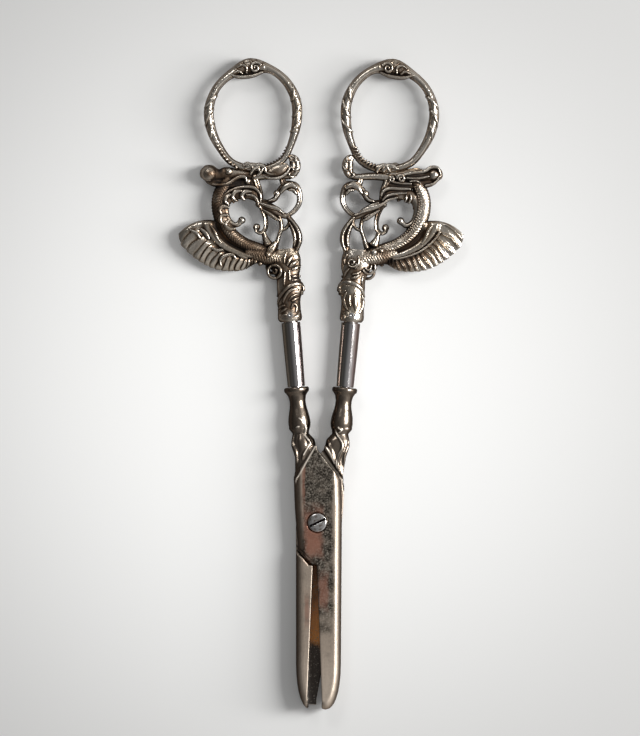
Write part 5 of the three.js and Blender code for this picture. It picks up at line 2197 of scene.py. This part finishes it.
def build_handles(arms: Sequence[Arm], plate: Material) -> None:
    """Makes the two castings and their bows.

    Args:
        arms: The two arms.
        plate: Material of the castings.
    """
    rays = 14
    design = ScrollHandle()
    lobes = Lobes(plate)
    casting = design.build(lobes)
    bow = FingerBow().build(lobes)
    for arm in arms:
        for model, kind in ((casting, "scroll_handle"), (bow, "finger_bow")):
            thing = linked(kind, model.data.copy())
            if model is casting and arm.side is Side.LEFT:
                merged(thing, shapes_of(design.shell_panel, "shell"), Merge.JOIN)
            # Tarnish in the hollows, with painted shade on the upright sides
            mark_tarnish_and_shade(thing, 2.2, rays, 0.6)
            # Spots at listed places that darken the casting, and lighten it where the amount is negative
            add_spots(thing.data, design.tone_spots)
            node = f"{arm.side.value}_{kind}"
            finish_piece(thing, node, arm.grip(), [plate], CAST_CREASE)
            face_ride(thing, arm.body, node)
    for model in (casting, bow):
        bpy.data.objects.remove(model)


def build_shafts(arms: Sequence[Arm], plate: Material, steel: Material) -> None:
    """Makes the shafts and their pins.

    Args:
        arms: The two arms.
        plate: Material of the shafts.
        steel: Material of the pins.
    """
    for arm in arms:
        node = f"{arm.side.value}_shaft"
        rod = finish_piece(Shaft().build(), node, arm.stem(), [plate], TURNED_CREASE)
        mark_facing(rod.data)
        face_ride(rod, arm.body, node)
        pin = finish_piece(ShaftPin().build(), f"{node}_pin", arm.grip(), [steel], TURNED_CREASE)
        face_ride(pin, arm.body, f"{node}_pin")


def build_blades(nodes: dict[str, Thing], arms: Sequence[Arm], finishes: dict[Side, list[Material]],
                 steel: Material) -> None:
    """Makes the two blades and the screw.

    Args:
        nodes: The solids by name.
        arms: The two arms.
        finishes: Materials of each arm's blade; the second one is the ledge's.
        steel: Material of the screw.
    """
    rays = 10
    for arm in arms:
        blade = Blade(arm.side)
        lower = arm.side is Side.RIGHT
        node = "lower_blade" if lower else "upper_blade"
        thing = blade.build(nodes[node], arm.blades())
        # Tarnish in the hollows, with painted shade on the upright flanks
        mark_tarnish_and_shade(thing, 1.6, rays, 0.4)
        # Painted shadow line along the heel of the upper plate
        add_spots(thing.data, blade.seam)
        # Painted highlights along the folds of the shank
        blade.mark_fold_highlights(thing.data)
        mark_facing(thing.data)
        bare = blade.ledge_faces(thing.data)
        finish_piece(thing, node, arm.blades(), finishes[arm.side], NO_CREASE)
        thing.data.polygons.foreach_set("material_index", bare)
        face_ride(thing, arm.body, node)
        if lower:
            screw = PivotScrew().build()
            mark_tarnish_and_shade(screw, 1.2, rays, 0.0)
            finish_piece(screw, "pivot_screw", arm.blades(), [steel], TURNED_CREASE)
            face_ride(screw, arm.body, "pivot_screw")


def main() -> None:
    """Builds the dressed scissors and the studio round them."""
    logging.basicConfig(level=logging.INFO, format="%(name)s %(message)s")
    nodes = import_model()["nodes"]
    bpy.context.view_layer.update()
    cast = CastPlate().dress("cast_plate")
    polished = PolishedPlate().dress("polished_plate")
    upper = BladePlate().dress("blade_plate")
    lower = BladePlate(specked=0.45).dress("lower_blade_plate")
    ledge = LedgeSteel().dress("ledge_steel")
    steel = BareSteel().dress("bare_steel")
    arms = (Arm(Side.LEFT, 2.0), Arm(Side.RIGHT, -2.35))
    build_handles(arms, cast)
    build_shafts(arms, polished, steel)
    build_blades(nodes, arms, {Side.LEFT: [upper], Side.RIGHT: [lower, ledge]}, steel)
    Studio().build()


if __name__ == "__main__":
    main()
